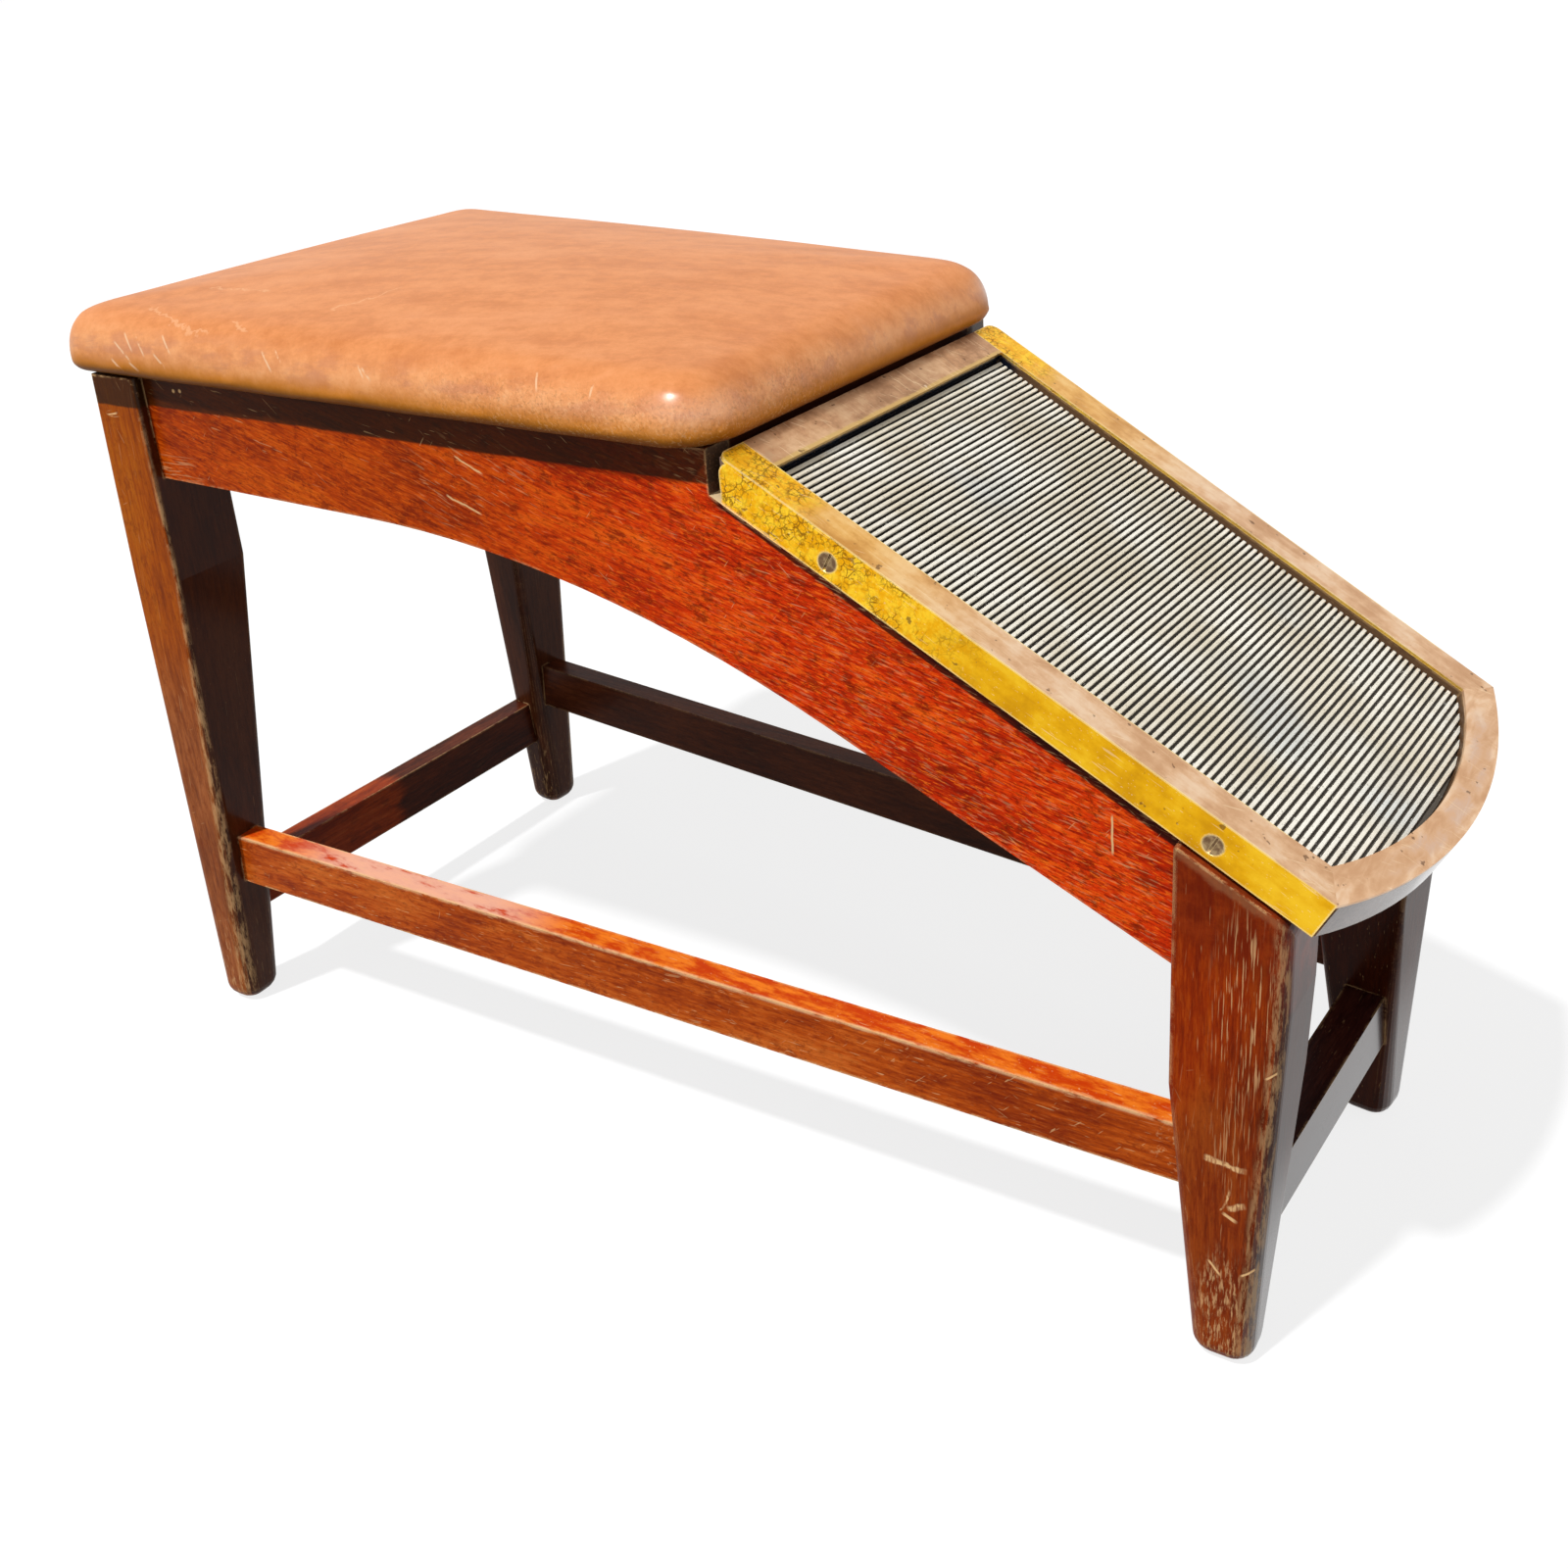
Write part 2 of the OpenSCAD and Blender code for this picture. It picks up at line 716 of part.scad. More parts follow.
// Everything behind the plumb rear end of the ramp
module behind_ramp() {
  translate([ramp_x - spare, -rear_w, ramp_z - spare])
    cube([spare, 2 * rear_w, 2 * spare]);
}

module ramp_board() {
  color("peru")
    place()
      difference() {
        on_ramp()
          slab(ramp_t, brass_t)
            bowed_area(-ramp_t, brass_t / cos(edge_angle), bow_r, bow_x);
        on_ramp()
          slab(mat_sink + mat_t, 0)
            opening_plan(0);
        behind_ramp();
        on_ramp()
          both_rows(screw_clear);
        ramp_screw_set(screw_clear);
      }
}

// The mat: a comb of ribs across the ramp, trimmed to the opening
rib_first = bar_w + mat_clear;
rib_last = inner_x + bow_inner_rise;
rib_count = floor((rib_last - rib_first) / rib_pitch);
module rubber_mat() {
  top = -mat_sink;
  root = top - rib_h;
  bottom = top - mat_t;
  slant = (rib_root_w - rib_crest_w) / 2;
  comb = [for (i = [0 : rib_count - 1])
    let (x = rib_first + (i + 1) * rib_pitch - rib_root_w)
    each [
      [x, root],
      [x + slant / 2, top - slant / 2],
      [x + slant, top],
      [x + slant + rib_crest_w, top],
      [x + rib_root_w - slant / 2, top - slant / 2],
      [x + rib_root_w, root]
    ]];
  color("ivory")
    place()
      on_ramp()
        intersection() {
          side_plate(concat(
            [[0, bottom], [0, root]],
            comb,
            [[rib_last + over, root], [rib_last + over, bottom]]
          ), -ramp_rear_w, ramp_rear_w);
          slab(mat_sink + mat_t, 0)
            opening_plan(mat_clear);
        }
}

// A side angle lies along the ramp's edge: x runs down the slope, y inwards
module on_edge() {
  translate([0, -ramp_rear_w / 2, 0])
    rotate([0, 0, edge_angle])
      children();
}

screw_places = [screw_rear_l, edge_l - screw_front_l];
module angle_screw_row(grow) {
  for (x = screw_places)
    translate([x, 0, -screw_drop])
      rotate([90, 0, 0])
        screw(screw_head_d, screw_shank_d, screw_l, grow);
}

module both_rows(grow) {
  on_edge()
    angle_screw_row(grow);
  left()
    on_edge()
      angle_screw_row(grow);
}

module brass_angle_shape() {
  foot_x = ramp_t * tan(ramp_angle);
  apron = rounded([
    [0, 0, angle_corner_r],
    [edge_l, 0, 0],
    [edge_l, -ramp_t, 0],
    [foot_x, -ramp_t, 0]
  ]);
  flange = rounded([
    [0, -ramp_rear_w / 2, angle_corner_r],
    [ramp_l, -ramp_front_w / 2, 0],
    [inner_x, -inner_half, 0],
    [0, flange_y - ramp_rear_w / 2, 0]
  ]);
  color("goldenrod")
    on_ramp()
      difference() {
        union() {
          on_edge()
            side_plate(apron, 0, brass_t);
          slab(brass_t, 0)
            polygon(flange);
        }
        on_edge()
          angle_screw_row(screw_clear);
      }
}

module brass_top_bar() {
  half0 = ramp_half(0) - flange_y;
  half1 = ramp_half(bar_w) - flange_y;
  color([0.65, 0.5, 0.36])
    place()
      on_ramp()
        slab(brass_t, 0)
          polygon([[0, -half0], [bar_w, -half1], [bar_w, half1], [0, half0]]);
}

module brass_bow_plate() {
  far = ramp_l + bow_rise + over;
  half = ramp_front_w / 2;
  color([0.75, 0.63, 0.58])
    place()
      on_ramp()
        slab(brass_t, 0)
          difference() {
            intersection() {
              polygon([
                [inner_x, -inner_half],
                [ramp_l, -half],
                [far, -half],
                [far, half],
                [ramp_l, half],
                [inner_x, inner_half]
              ]);
              bow(bow_r, bow_x);
            }
            bow(inner_r, inner_mid);
          }
}

module angle_screws() {
  color("dimgray")
    place()
      on_ramp() {
        slotted_row();
        left()
          slotted_row();
      }
}

module slotted_row() {
  on_edge()
    difference() {
      angle_screw_row(0);
      for (x = screw_places)
        translate([x - screw_slot_w / 2, -over, -screw_drop - screw_head_d])
          cube([screw_slot_w, over + screw_slot_d, 2 * screw_head_d]);
    }
}

// Ramp cleats run down the inside of the side rails, under the board
ramp_cleat_y = rail_recess + rail_t;
module ramp_cleat_bar() {
  start_x = seat_l / cos(taper) + ramp_cleat_set * cos(ramp_angle);
  translate([start_x, ramp_cleat_y, underside_z(start_x)])
    rotate([0, ramp_angle, 0])
      translate([0, 0, -cleat_s])
        cube([ramp_cleat_l, cleat_s, cleat_s]);
}

ramp_screw_l = cleat_s + fixing_bite;
module ramp_screw_row(grow) {
  start_x = seat_l / cos(taper) + ramp_cleat_set * cos(ramp_angle);
  translate([start_x, ramp_cleat_y + cleat_s / 2, underside_z(start_x)])
    rotate([0, ramp_angle, 0])
      for (x = [fixing_set, ramp_cleat_l - fixing_set])
        translate([x, 0, -cleat_s])
          rotate([180, 0, 0])
            screw(fixing_head_d, fixing_shank_d, ramp_screw_l, grow);
}

module ramp_screw_set(grow) {
  on_side()
    ramp_screw_row(grow);
  left()
    on_side()
      ramp_screw_row(grow);
}

module ramp_cleat_shape() {
  color("tan")
    difference() {
      on_side()
        ramp_cleat_bar();
      on_side()
        ramp_screw_row(screw_clear);
    }
}

// A slanted glue block in the corner between a front leg and the ramp board
module glue_block_shape() {
  d = glue_block_d;
  y0 = front_leg_y;
  x1 = side_l - ease_r;
  x0 = front_back_x + ease_r;
  rise = glue_block_w * sin(taper) * tan(ramp_angle);
  intersection() {
    side_plate([
      [x0, underside_z(x0)],
      [x1, underside_z(x1)],
      [x1, underside_z(x1) - d],
      [x0, underside_z(x0) - d]
    ], y0, y0 + glue_block_w + rise);
    hull() {
      for (x = [x0, x1])
        front_plate([
          [y0, underside_z(x) - d],
          [y0 + glue_block_w * slant_share, underside_z(x) - d],
          [y0 + glue_block_w, underside_z(x) - d * slant_share],
          [y0 + glue_block_w, underside_z(x)],
          [y0, underside_z(x)]
        ], x, x + thin);
    }
  }
}

module glue_blocks() {
  color("sienna")
    place() {
      on_side()
        glue_block_shape();
      left()
        on_side()
          glue_block_shape();
    }
}

module rear_leg_right() { place() rear_leg_shape(); }
module rear_leg_left() { place() left() rear_leg_shape(); }
module front_leg_right() { place() front_leg_shape(); }
module front_leg_left() { place() left() front_leg_shape(); }
module side_rail_right() { place() side_rail_shape(); }
module side_rail_left() { place() left() side_rail_shape(); }
module rear_rail() { color([0.55, 0.2, 0.08]) place() rear_rail_bar(); }
module cross_rail() { color([0.55, 0.2, 0.08]) place() cross_rail_bar(); }
module side_stretcher_right() { place() side_stretcher_shape(); }
module side_stretcher_left() { place() left() side_stretcher_shape(); }
module rear_stretcher() { color("sienna") place() rear_stretcher_bar(); }
module front_stretcher() { color("sienna") place() front_stretcher_bar(); }
module seat_cleat_right() { place() seat_cleat_shape(); }
module seat_cleat_left() { place() left() seat_cleat_shape(); }
module seat_screws() { color("dimgray") place() seat_screw_set(0); }
module ramp_cleat_right() { place() ramp_cleat_shape(); }
module ramp_cleat_left() { place() left() ramp_cleat_shape(); }
module ramp_screws() { color("dimgray") place() ramp_screw_set(0); }
module brass_angle_right() { place() brass_angle_shape(); }
module brass_angle_left() { place() left() brass_angle_shape(); }

rear_leg_right();
rear_leg_left();
front_leg_right();
front_leg_left();
side_rail_right();
side_rail_left();
rear_rail();
cross_rail();
side_stretcher_right();
side_stretcher_left();
rear_stretcher();
front_stretcher();
seat_board();
seat_padding();
seat_cover();
seat_cleat_right();
seat_cleat_left();
seat_screws();
ramp_board();
ramp_cleat_right();
ramp_cleat_left();
ramp_screws();
glue_blocks();
rubber_mat();
brass_angle_right();
brass_angle_left();
brass_top_bar();
brass_bow_plate();
angle_screws();
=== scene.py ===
# %% [markdown]
# # A shoe fitting stool
# This lesson dresses a stool that was drawn in CAD: a leather seat on a varnished mahogany
# frame, and a ramp for the customer's foot with a ribbed mat in a brass edge. The solids come
# in with their sizes fixed, and every length here is in metres. We add one new piece, the
# stuffed cushion, and then spend most of our time on finishes, because old varnish, leather
# and brass are told apart by their small marks more than by their colours.

# %% Load the stool
import math
import bpy
import bmesh
from mathutils import Matrix, Vector


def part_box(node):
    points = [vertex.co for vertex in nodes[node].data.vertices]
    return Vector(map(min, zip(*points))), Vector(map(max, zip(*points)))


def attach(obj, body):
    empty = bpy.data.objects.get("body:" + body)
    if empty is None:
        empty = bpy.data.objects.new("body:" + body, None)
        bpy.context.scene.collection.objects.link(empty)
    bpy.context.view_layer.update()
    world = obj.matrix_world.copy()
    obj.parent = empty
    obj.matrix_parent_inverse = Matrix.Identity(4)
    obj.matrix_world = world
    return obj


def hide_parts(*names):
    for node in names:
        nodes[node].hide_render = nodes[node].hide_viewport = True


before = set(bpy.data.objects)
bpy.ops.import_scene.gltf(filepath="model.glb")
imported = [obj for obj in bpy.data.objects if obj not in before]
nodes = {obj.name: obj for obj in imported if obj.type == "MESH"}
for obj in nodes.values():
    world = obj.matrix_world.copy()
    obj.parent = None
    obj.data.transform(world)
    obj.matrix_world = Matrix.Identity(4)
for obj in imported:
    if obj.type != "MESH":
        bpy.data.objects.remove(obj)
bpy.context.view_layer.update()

# %% [markdown]
# ## Camera
# The picture was taken from above the front right corner, close enough for strong
# perspective. We know the camera's place and where it looks, so we build its axes by hand:
# a yaw, a pitch down and a small roll. Lens shift moves the picture in the frame without
# turning the camera, which keeps the vertical edges as the photographer had them.

# %% Aim the camera
CAMERA_AT = Vector((0.4788, -0.6262, 0.5887))
YAW, PITCH, ROLL = (math.radians(a) for a in (125.498, 23.426, -3.691))
PIXELS, FOCAL, MIDDLE_X, MIDDLE_Y = 1600, 1778.73, 855.55, 629.45


def aim_camera():
    ahead = Vector((math.cos(PITCH) * math.cos(YAW), math.cos(PITCH) * math.sin(YAW),
                    -math.sin(PITCH)))
    level = ahead.cross(Vector((0, 0, 1))).normalized()
    above = level.cross(ahead)
    right = math.cos(ROLL) * level + math.sin(ROLL) * above
    up = right.cross(ahead)
    data = bpy.data.cameras.new("stool_camera")
    data.sensor_width = 36
    data.lens = FOCAL / PIXELS * 36
    data.shift_x = (PIXELS / 2 - MIDDLE_X) / PIXELS
    data.shift_y = (MIDDLE_Y - PIXELS / 2) / PIXELS
    data.clip_start, data.clip_end = 0.05, 60
    camera = bpy.data.objects.new("stool_camera", data)
    bpy.context.scene.collection.objects.link(camera)
    turn = Matrix((right, up, -ahead)).transposed().to_4x4()
    camera.matrix_world = Matrix.Translation(CAMERA_AT) @ turn
    bpy.context.scene.camera = camera
    return camera


camera = aim_camera()
print("lens:", round(camera.data.lens, 2), "mm, shift:", round(camera.data.shift_x, 4),
      round(camera.data.shift_y, 4))

# %% [markdown]
# ## Colours and wires
# Colours are easiest to read as the numbers from 0 to 255 that a picture program shows, but
# Blender's sockets hold linear light, so one function converts them. Node trees are easiest
# to read as sums, so a small class wraps a socket: adding, subtracting or multiplying two
# wires adds the Math node for us.

# %% Helpers for materials


def paint(r, g, b):
    """A display colour as linear light, with full alpha."""
    linear = [c / 12.92 if c < 0.04045 else ((c + 0.055) / 1.055) ** 2.4
              for c in (r / 255, g / 255, b / 255)]
    return (*linear, 1)


def deeper(colour, share):
    return tuple(share * c for c in colour)


class Wire:
    """A socket in a node tree, or a tree to start in. Sums and products become Math nodes."""

    def __init__(self, tree, socket=None):
        self.tree, self.socket = tree, socket

    def node(self, kind, out=0, put=None, stops=None, **settings):
        """Adds a node: settings first, then what goes into its sockets."""
        made = self.tree.nodes.new("ShaderNode" + kind)
        for key, value in settings.items():
            setattr(made, key, value)
        if stops:
            ramp = made.color_ramp.elements
            while len(ramp) < len(stops):
                ramp.new(0.5)
            for stop, (place, colour) in zip(ramp, stops):
                stop.position, stop.color = place, colour
        for key, value in (put or {}).items():
            if isinstance(value, Wire):
                self.tree.links.new(value.socket, made.inputs[key])
            else:
                made.inputs[key].default_value = value
        return Wire(self.tree, made.outputs[out] if made.outputs else None)

    def math(self, operation, *inputs):
        return self.node("Math", put=dict(enumerate(inputs)), operation=operation)

    def __add__(self, other):
        return self.math("ADD", self, other)

    def __sub__(self, other):
        return self.math("SUBTRACT", self, other)

    def __rsub__(self, other):
        return self.math("SUBTRACT", other, self)

    def __mul__(self, other):
        return self.math("MULTIPLY", self, other)

    def __abs__(self):
        return self.math("ABSOLUTE", self)

    def root(self):
        return self.math("SQRT", self)

    def sign(self):
        return self.math("SIGN", self)

    def __or__(self, other):
        """The stronger of two masks."""
        return self.math("MAXIMUM", self, other)

    __radd__, __rmul__ = __add__, __mul__

    def step(self, low, high):
        """0 below low, 1 above high and a smooth slope between them."""
        return self.node("MapRange", put={"Value": self, "From Min": low, "From Max": high},
                         interpolation_type="SMOOTHSTEP")

    def mix(self, a, b):
        """Colour a where this wire is 0 and colour b where it is 1."""
        a, b = (c if isinstance(c, Wire) else paint(*c) for c in (a, b))
        return self.node("Mix", out=2, put={0: self, 6: a, 7: b}, data_type="RGBA")

    def tones(self, dark, middle, light):
        """Three colours along this wire."""
        return self.node("ValToRGB", put={"Fac": self}, stops=[
            (0, paint(*dark)), (0.5, paint(*middle)), (1, paint(*light))])

    def along(self, direction):
        """How far a place lies along a direction."""
        return self.node("VectorMath", out="Value", put={0: self, 1: tuple(direction)},
                         operation="DOT_PRODUCT")


print("dark brown as linear light:", [round(v, 4) for v in paint(60, 30, 15)])

# %% [markdown]
# Every finish starts with a Principled shader and the place of a point on the stool, which is
# its Object coordinate because all pieces share one origin. Patterns come from stretched
# noise: squeezed across the grain and drawn out along it, noise turns into streaks, and where
# only its highest peaks are kept the streaks become scratches.

# %% Patterns that finishes share


def shader_sockets(material, values):
    """The shader's sockets that some values are for, each with its value."""
    shader = material.node_tree.nodes["Principled BSDF"]
    for key, value in values.items():
        yield shader.inputs[key.replace("_", " ")], value


def new_finish(name, **plain):
    """A material with its shader's plain values set, and the place of a point on it."""
    material = bpy.data.materials.new(name)
    material.use_nodes = True
    for socket, value in shader_sockets(material, plain):
        socket.default_value = value
    return material, Wire(material.node_tree).node("TexCoord", out="Object")


def connect(material, **wires):
    for socket, wire in shader_sockets(material, wires):
        wire.tree.links.new(wire.socket, socket)
    return material


def stretched(place, along, across, length, width, seed=0.0):
    """Coordinates in which one unit is length along the grain and width across it."""
    third = Vector(along).cross(Vector(across))
    parts = {0: place.along(along) * (1 / length) + seed,
             1: place.along(across) * (1 / width) + seed,
             2: place.along(third) * (1 / width)}
    return place.node("CombineXYZ", put=parts)


def noise(vector, scale=1.0, detail=3.0, roughness=0.55, distortion=0.0):
    return vector.node("TexNoise", put={"Vector": vector, "Scale": scale, "Detail": detail,
                                        "Roughness": roughness, "Distortion": distortion})


def grained(place, along, across, length, width, seed=0.0, **more):
    return noise(stretched(place, along, across, length, width, seed), **more)


def streaks(place, along, across, length, width, low, high, seed=0.0, detail=1):
    """Thin lines, where stretched noise rises from low to high."""
    return grained(place, along, across, length, width, seed, detail=detail).step(low, high)


def facing(place, direction, low=0.5, high=0.8):
    """1 on the faces that look along a direction."""
    return place.node("NewGeometry", out="Normal").along(direction).step(low, high)


def strongest(masks):
    """One mask from many: the strongest at each place."""
    masks = list(masks)
    joined = masks[0]
    for mask in masks[1:]:
        joined = joined | mask
    return joined


def eased(place, radius=0.003, samples=6):
    """The way a face looks, blended over an arris with that of the next face."""
    return place.node("Bevel", put={"Radius": radius}, samples=samples)


def worn_edges(place, radius, low=0.03, high=0.2):
    """1 on the arrises of a piece, where hands and brooms rub the finish off."""
    normal = place.node("NewGeometry", out="Normal")
    same = place.node("VectorMath", out="Value", put={0: normal, 1: eased(place, radius, 4)},
                      operation="DOT_PRODUCT")
    return (1 - same).step(low, high)


def bump(height, strength, distance):
    return height.node("Bump", put={"Height": height, "Strength": strength,
                                    "Distance": distance})


X, Y, Z = (1, 0, 0), (0, 1, 0), (0, 0, 1)
RIGHT = (0, -1, 0)
print("the stool's right side looks along", RIGHT)

# %% [markdown]
# Real wear gathers where feet and brooms strike, so two more helpers put marks where we want
# them. One fades a pattern in around a spot, and the other draws a single scratch.

# %% Marks at a chosen place
FULL_WITHIN = 0.45
SCRATCH_DEPTH = 0.01


def near(place, centre, reach):
    """1 at a spot on the stool, fading to 0 at its reach along x, y and z."""
    apart = place.node("VectorMath", put={0: place, 1: centre}, operation="SUBTRACT")
    share = place.node("VectorMath", put={0: apart, 1: reach}, operation="DIVIDE")
    far = place.node("VectorMath", out="Value", put={0: share}, operation="LENGTH")
    return 1 - far.step(FULL_WITHIN, 1.0)


def scratch_line(place, start, end, width, out=RIGHT, waver=0.0):
    """A single scratch, cut into the face that looks along out."""
    start, run = Vector(start), Vector(end) - Vector(start)
    across = run.normalized().cross(Vector(out)).normalized()
    at = place.along(run.normalized()) - start.dot(run.normalized())
    shake = (noise(place, 140, 3) - 0.5) * waver if waver else 0
    off = abs(place.along(across) - start.dot(across) + shake)
    deep = abs(place.along(out) - start.dot(Vector(out)))
    ends = at.step(-0.001, 0.001) * (1 - at.step(run.length - 0.002, run.length + 0.001))
    only_here = 1 - deep.step(SCRATCH_DEPTH, SCRATCH_DEPTH + 0.004)
    return (1 - off.step(width * 0.35, width)) * ends * only_here


print("a spot's mark fades out from", FULL_WITHIN, "of its reach")

# %% [markdown]
# ## Varnished mahogany
# The frame is red mahogany under an old glossy varnish. Seen close, the colour has several
# layers: broad patches where the stain took differently, long streaks of grain, dark red
# smudges, and fine lines that make the wood look brushed. Over them lie pale scratches, and
# on the arrises the varnish is rubbed down to the wood. One function builds it all, and each
# piece gives its own colours, its grain direction and how badly it is worn.
#
# The faces that look forwards or inwards are painted almost black as painted shade, since the
# light hardly reaches them, and the forward ones keep their gloss. So both are laid by the way
# a face looks.

# %% Build the varnished wood
# The first two colours are painted shade for the faces that look forwards or inwards.
SHADE_DARK, SHADE_PALE, BARE = (26, 10, 6), (64, 28, 14), (236, 190, 134)
CUTS = ((0.1, 0.03, 0.7), (-0.45, 0.018, 0.73), (1.2, 0.012, 0.75))
ARRIS = 0.002


def crossed_cuts(place, grain, across, seed):
    """Scratches in three directions: each has a turn from the grain, a length and a rarity."""
    for turn, length, low in CUTS:
        a = Vector(grain) * math.cos(turn) + Vector(across) * math.sin(turn)
        b = Vector(across) * math.cos(turn) - Vector(grain) * math.sin(turn)
        yield streaks(place, a, b, length, 0.0011, low, low + 0.05, seed + 20 * turn)


def mahogany(name, tones, grain, across, lines=0.2, smudges=0.3, scratches=0.2, wear=0.3,
             polish=0.2, dull_above=None, shade_and_stain=0.9, seed=0, second=None, marks=None, over=None):
    material, place = new_finish(name, Specular_IOR_Level=0.04, Coat_Roughness=0.14)
    front = facing(place, X, 0.45, 0.8)
    aside = place.node("NewGeometry", out="Normal").along(Y)
    inner = (aside * place.along(Y).sign()).step(-0.5, -0.8)
    patch = grained(place, grain, across, 0.1, 0.03, seed, detail=4)
    streak = grained(place, grain, across, 0.028, 0.0024, seed + 3, detail=5, roughness=0.7)
    tone = (patch * 0.6 + streak * 0.55 - 0.075).step(0.3, 0.72)
    colour = tone.tones(*tones)
    if second:
        other_tones, direction, low, high = second
        reach = place.along(direction) + patch * 0.05 - 0.025
        colour = reach.step(low, high).mix(colour, tone.tones(*other_tones))
    smoke = grained(place, grain, across, 0.011, 0.007, seed + 11, detail=6, roughness=0.75)
    colour = (smoke.step(0.54, 0.62) * smudges).mix(colour, tones[0])
    speck = grained(place, grain, across, 0.0045, 0.0017, seed + 13, detail=5, roughness=0.75)
    colour = (speck.step(0.53, 0.6) * smudges * 0.7).mix(colour, deeper(tones[0], 0.9))
    line = grained(place, grain, across, 0.008, 0.0008, seed + 7, detail=2)
    colour = ((1 - line.step(0.33, 0.46)) * lines).mix(colour, deeper(tones[0], 0.6))
    bright = tuple(min(255, c * 1.1 + 18) for c in tones[2])
    colour = (line.step(0.55, 0.66) * lines * 0.8).mix(colour, bright)
    # Painted shade: the faces that look forwards or inwards are darkened towards almost black.
    painted_side_shade = (front | inner) * shade_and_stain
    shaded_tone = (tone * 0.6 + line * 0.4).mix(SHADE_DARK, SHADE_PALE)
    colour = painted_side_shade.mix(colour, shaded_tone)
    cut = strongest(crossed_cuts(place, grain, across, seed))
    region = noise(place, 15, 2).step(0.44, 0.6)
    rubbed = noise(place, 90, 5, roughness=0.75)
    edge = worn_edges(place, ARRIS, 0.006, 0.05) * rubbed.step(0.42, 0.56) * wear
    worn = cut * region * scratches * (1 - painted_side_shade * 0.85) | edge * (1 - painted_side_shade * 0.4)
    if marks:
        worn = worn | marks(place)
    if over:
        colour = over(place, colour)
    colour = worn.mix(colour, BARE)
    height = line * 0.45 + streak * 0.3 - worn * 0.6
    gloss = front * polish
    if dull_above is not None:
        gloss = gloss * (1 - place.along(Z).step(dull_above, dull_above + 0.08) * 0.75)
    return connect(material, Base_Color=colour, Roughness=patch * 0.1 + worn * 0.3 + 0.3,
                   Coat_Weight=(1 - worn * 0.7) * (gloss + 0.02),
                   Normal=bump(height, 0.22, 0.0006))


def dress(material, *names):
    for name in names:
        thing = nodes[name]
        if thing.material_slots:
            for slot in thing.material_slots:
                slot.material = material
        else:
            thing.data.materials.append(material)
    print(material.name, "on", len(names), "pieces")


# %% [markdown]
# The rails' boards were cut a little across the grain, so it runs down towards the front.
# Behind, the wood is an even orange brown; towards the front it glows red, and fine lines
# along the grain get denser. The strip that the seat hangs over is painted dark as the seat's
# painted shadow, and a line below the brass is painted dark as the brass's shadow. The bed that
# the ramp lies on was never varnished, and shows as a sliver of pale wood at the foot of the
# step, so bare wood is mixed in wherever a face looks up the slope. The end of the step, which
# looks forwards, is painted grey as a painted reflection.

# %% Dress the rails
SLOPE = math.radians(28.3)
UP_RAMP = Vector((math.sin(SLOPE), 0, math.cos(SLOPE)))
DOWN_RAMP = Vector((math.cos(SLOPE), 0, -math.sin(SLOPE)))
RAMP_TOP = Vector((0.05709, 0, 0.37477))
FALL = math.radians(15)
RAIL_GRAIN = (math.cos(FALL), 0, -math.sin(FALL))
RAIL_ACROSS = (math.sin(FALL), 0, math.cos(FALL))
UNDER_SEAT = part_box("seat_cover")[0].z
# The colours of the painted shadows below the seat and below the brass, and how far down the seat's
# painted shadow reaches.
STRIP, SEAT_SHADOW, BRASS_SHADOW = 0.015, (44, 24, 4), (24, 8, 4)
LONG_SCRATCHES = (((-0.0833, -0.121, 0.3578), (-0.0686, -0.12, 0.3514), 0.0006),
                  ((-0.0915, -0.121, 0.3384), (-0.0725, -0.12, 0.3322), 0.0007))


def above_ramp(place):
    """How far a point lies above the plane of the ramp's brass."""
    return place.along(UP_RAMP) - RAMP_TOP.dot(UP_RAMP)


def down_ramp(place, start=RAMP_TOP):
    """How far down the ramp a point lies, from its upper end."""
    return place.along(DOWN_RAMP) - start.dot(DOWN_RAMP)


def rail_marks(place):
    front = place.along(X).step(-0.02, 0.12)
    brushed = streaks(place, RAIL_GRAIN, RAIL_ACROSS, 0.009, 0.001, 0.58, 0.66, 31, 2)
    zone = near(place, (-0.075, -0.12, 0.345), (0.05, 0.03, 0.03))
    loose = streaks(place, (0.92, 0, -0.39), (0.39, 0, 0.92), 0.016, 0.0011, 0.62, 0.67, 37)
    behind = near(place, (-0.27, -0.134, 0.329), (0.022, 0.03, 0.012))
    level = streaks(place, X, Z, 0.03, 0.001, 0.55, 0.62, 41)
    single = strongest(scratch_line(place, *ends, waver=0.002) for ends in LONG_SCRATCHES)
    chalk = scratch_line(place, (0.2254, -0.1004, 0.2497), (0.2254, -0.1004, 0.2328), 0.0006,
                         waver=0.001)
    dots = strongest(near(place, spot, (0.0013, 0.01, 0.0013)) for spot in (
        (-0.2614, -0.1332, 0.3709), (-0.2568, -0.1329, 0.3713)))
    return (brushed * front * 0.22 | loose * zone * 0.25 | level * behind * 0.3
            | single * 0.9 | chalk | dots)


def painted_seat_shadow(place, colour):
    """Painted shadow: the dark strip on the wood below the seat's overhanging edge."""
    cloud = noise(place, 60, 4)
    strip = (place.along(Z) + cloud * 0.0016).step(UNDER_SEAT - STRIP, UNDER_SEAT - STRIP + 0.0012)
    return (strip * 0.88).mix(colour, SEAT_SHADOW)


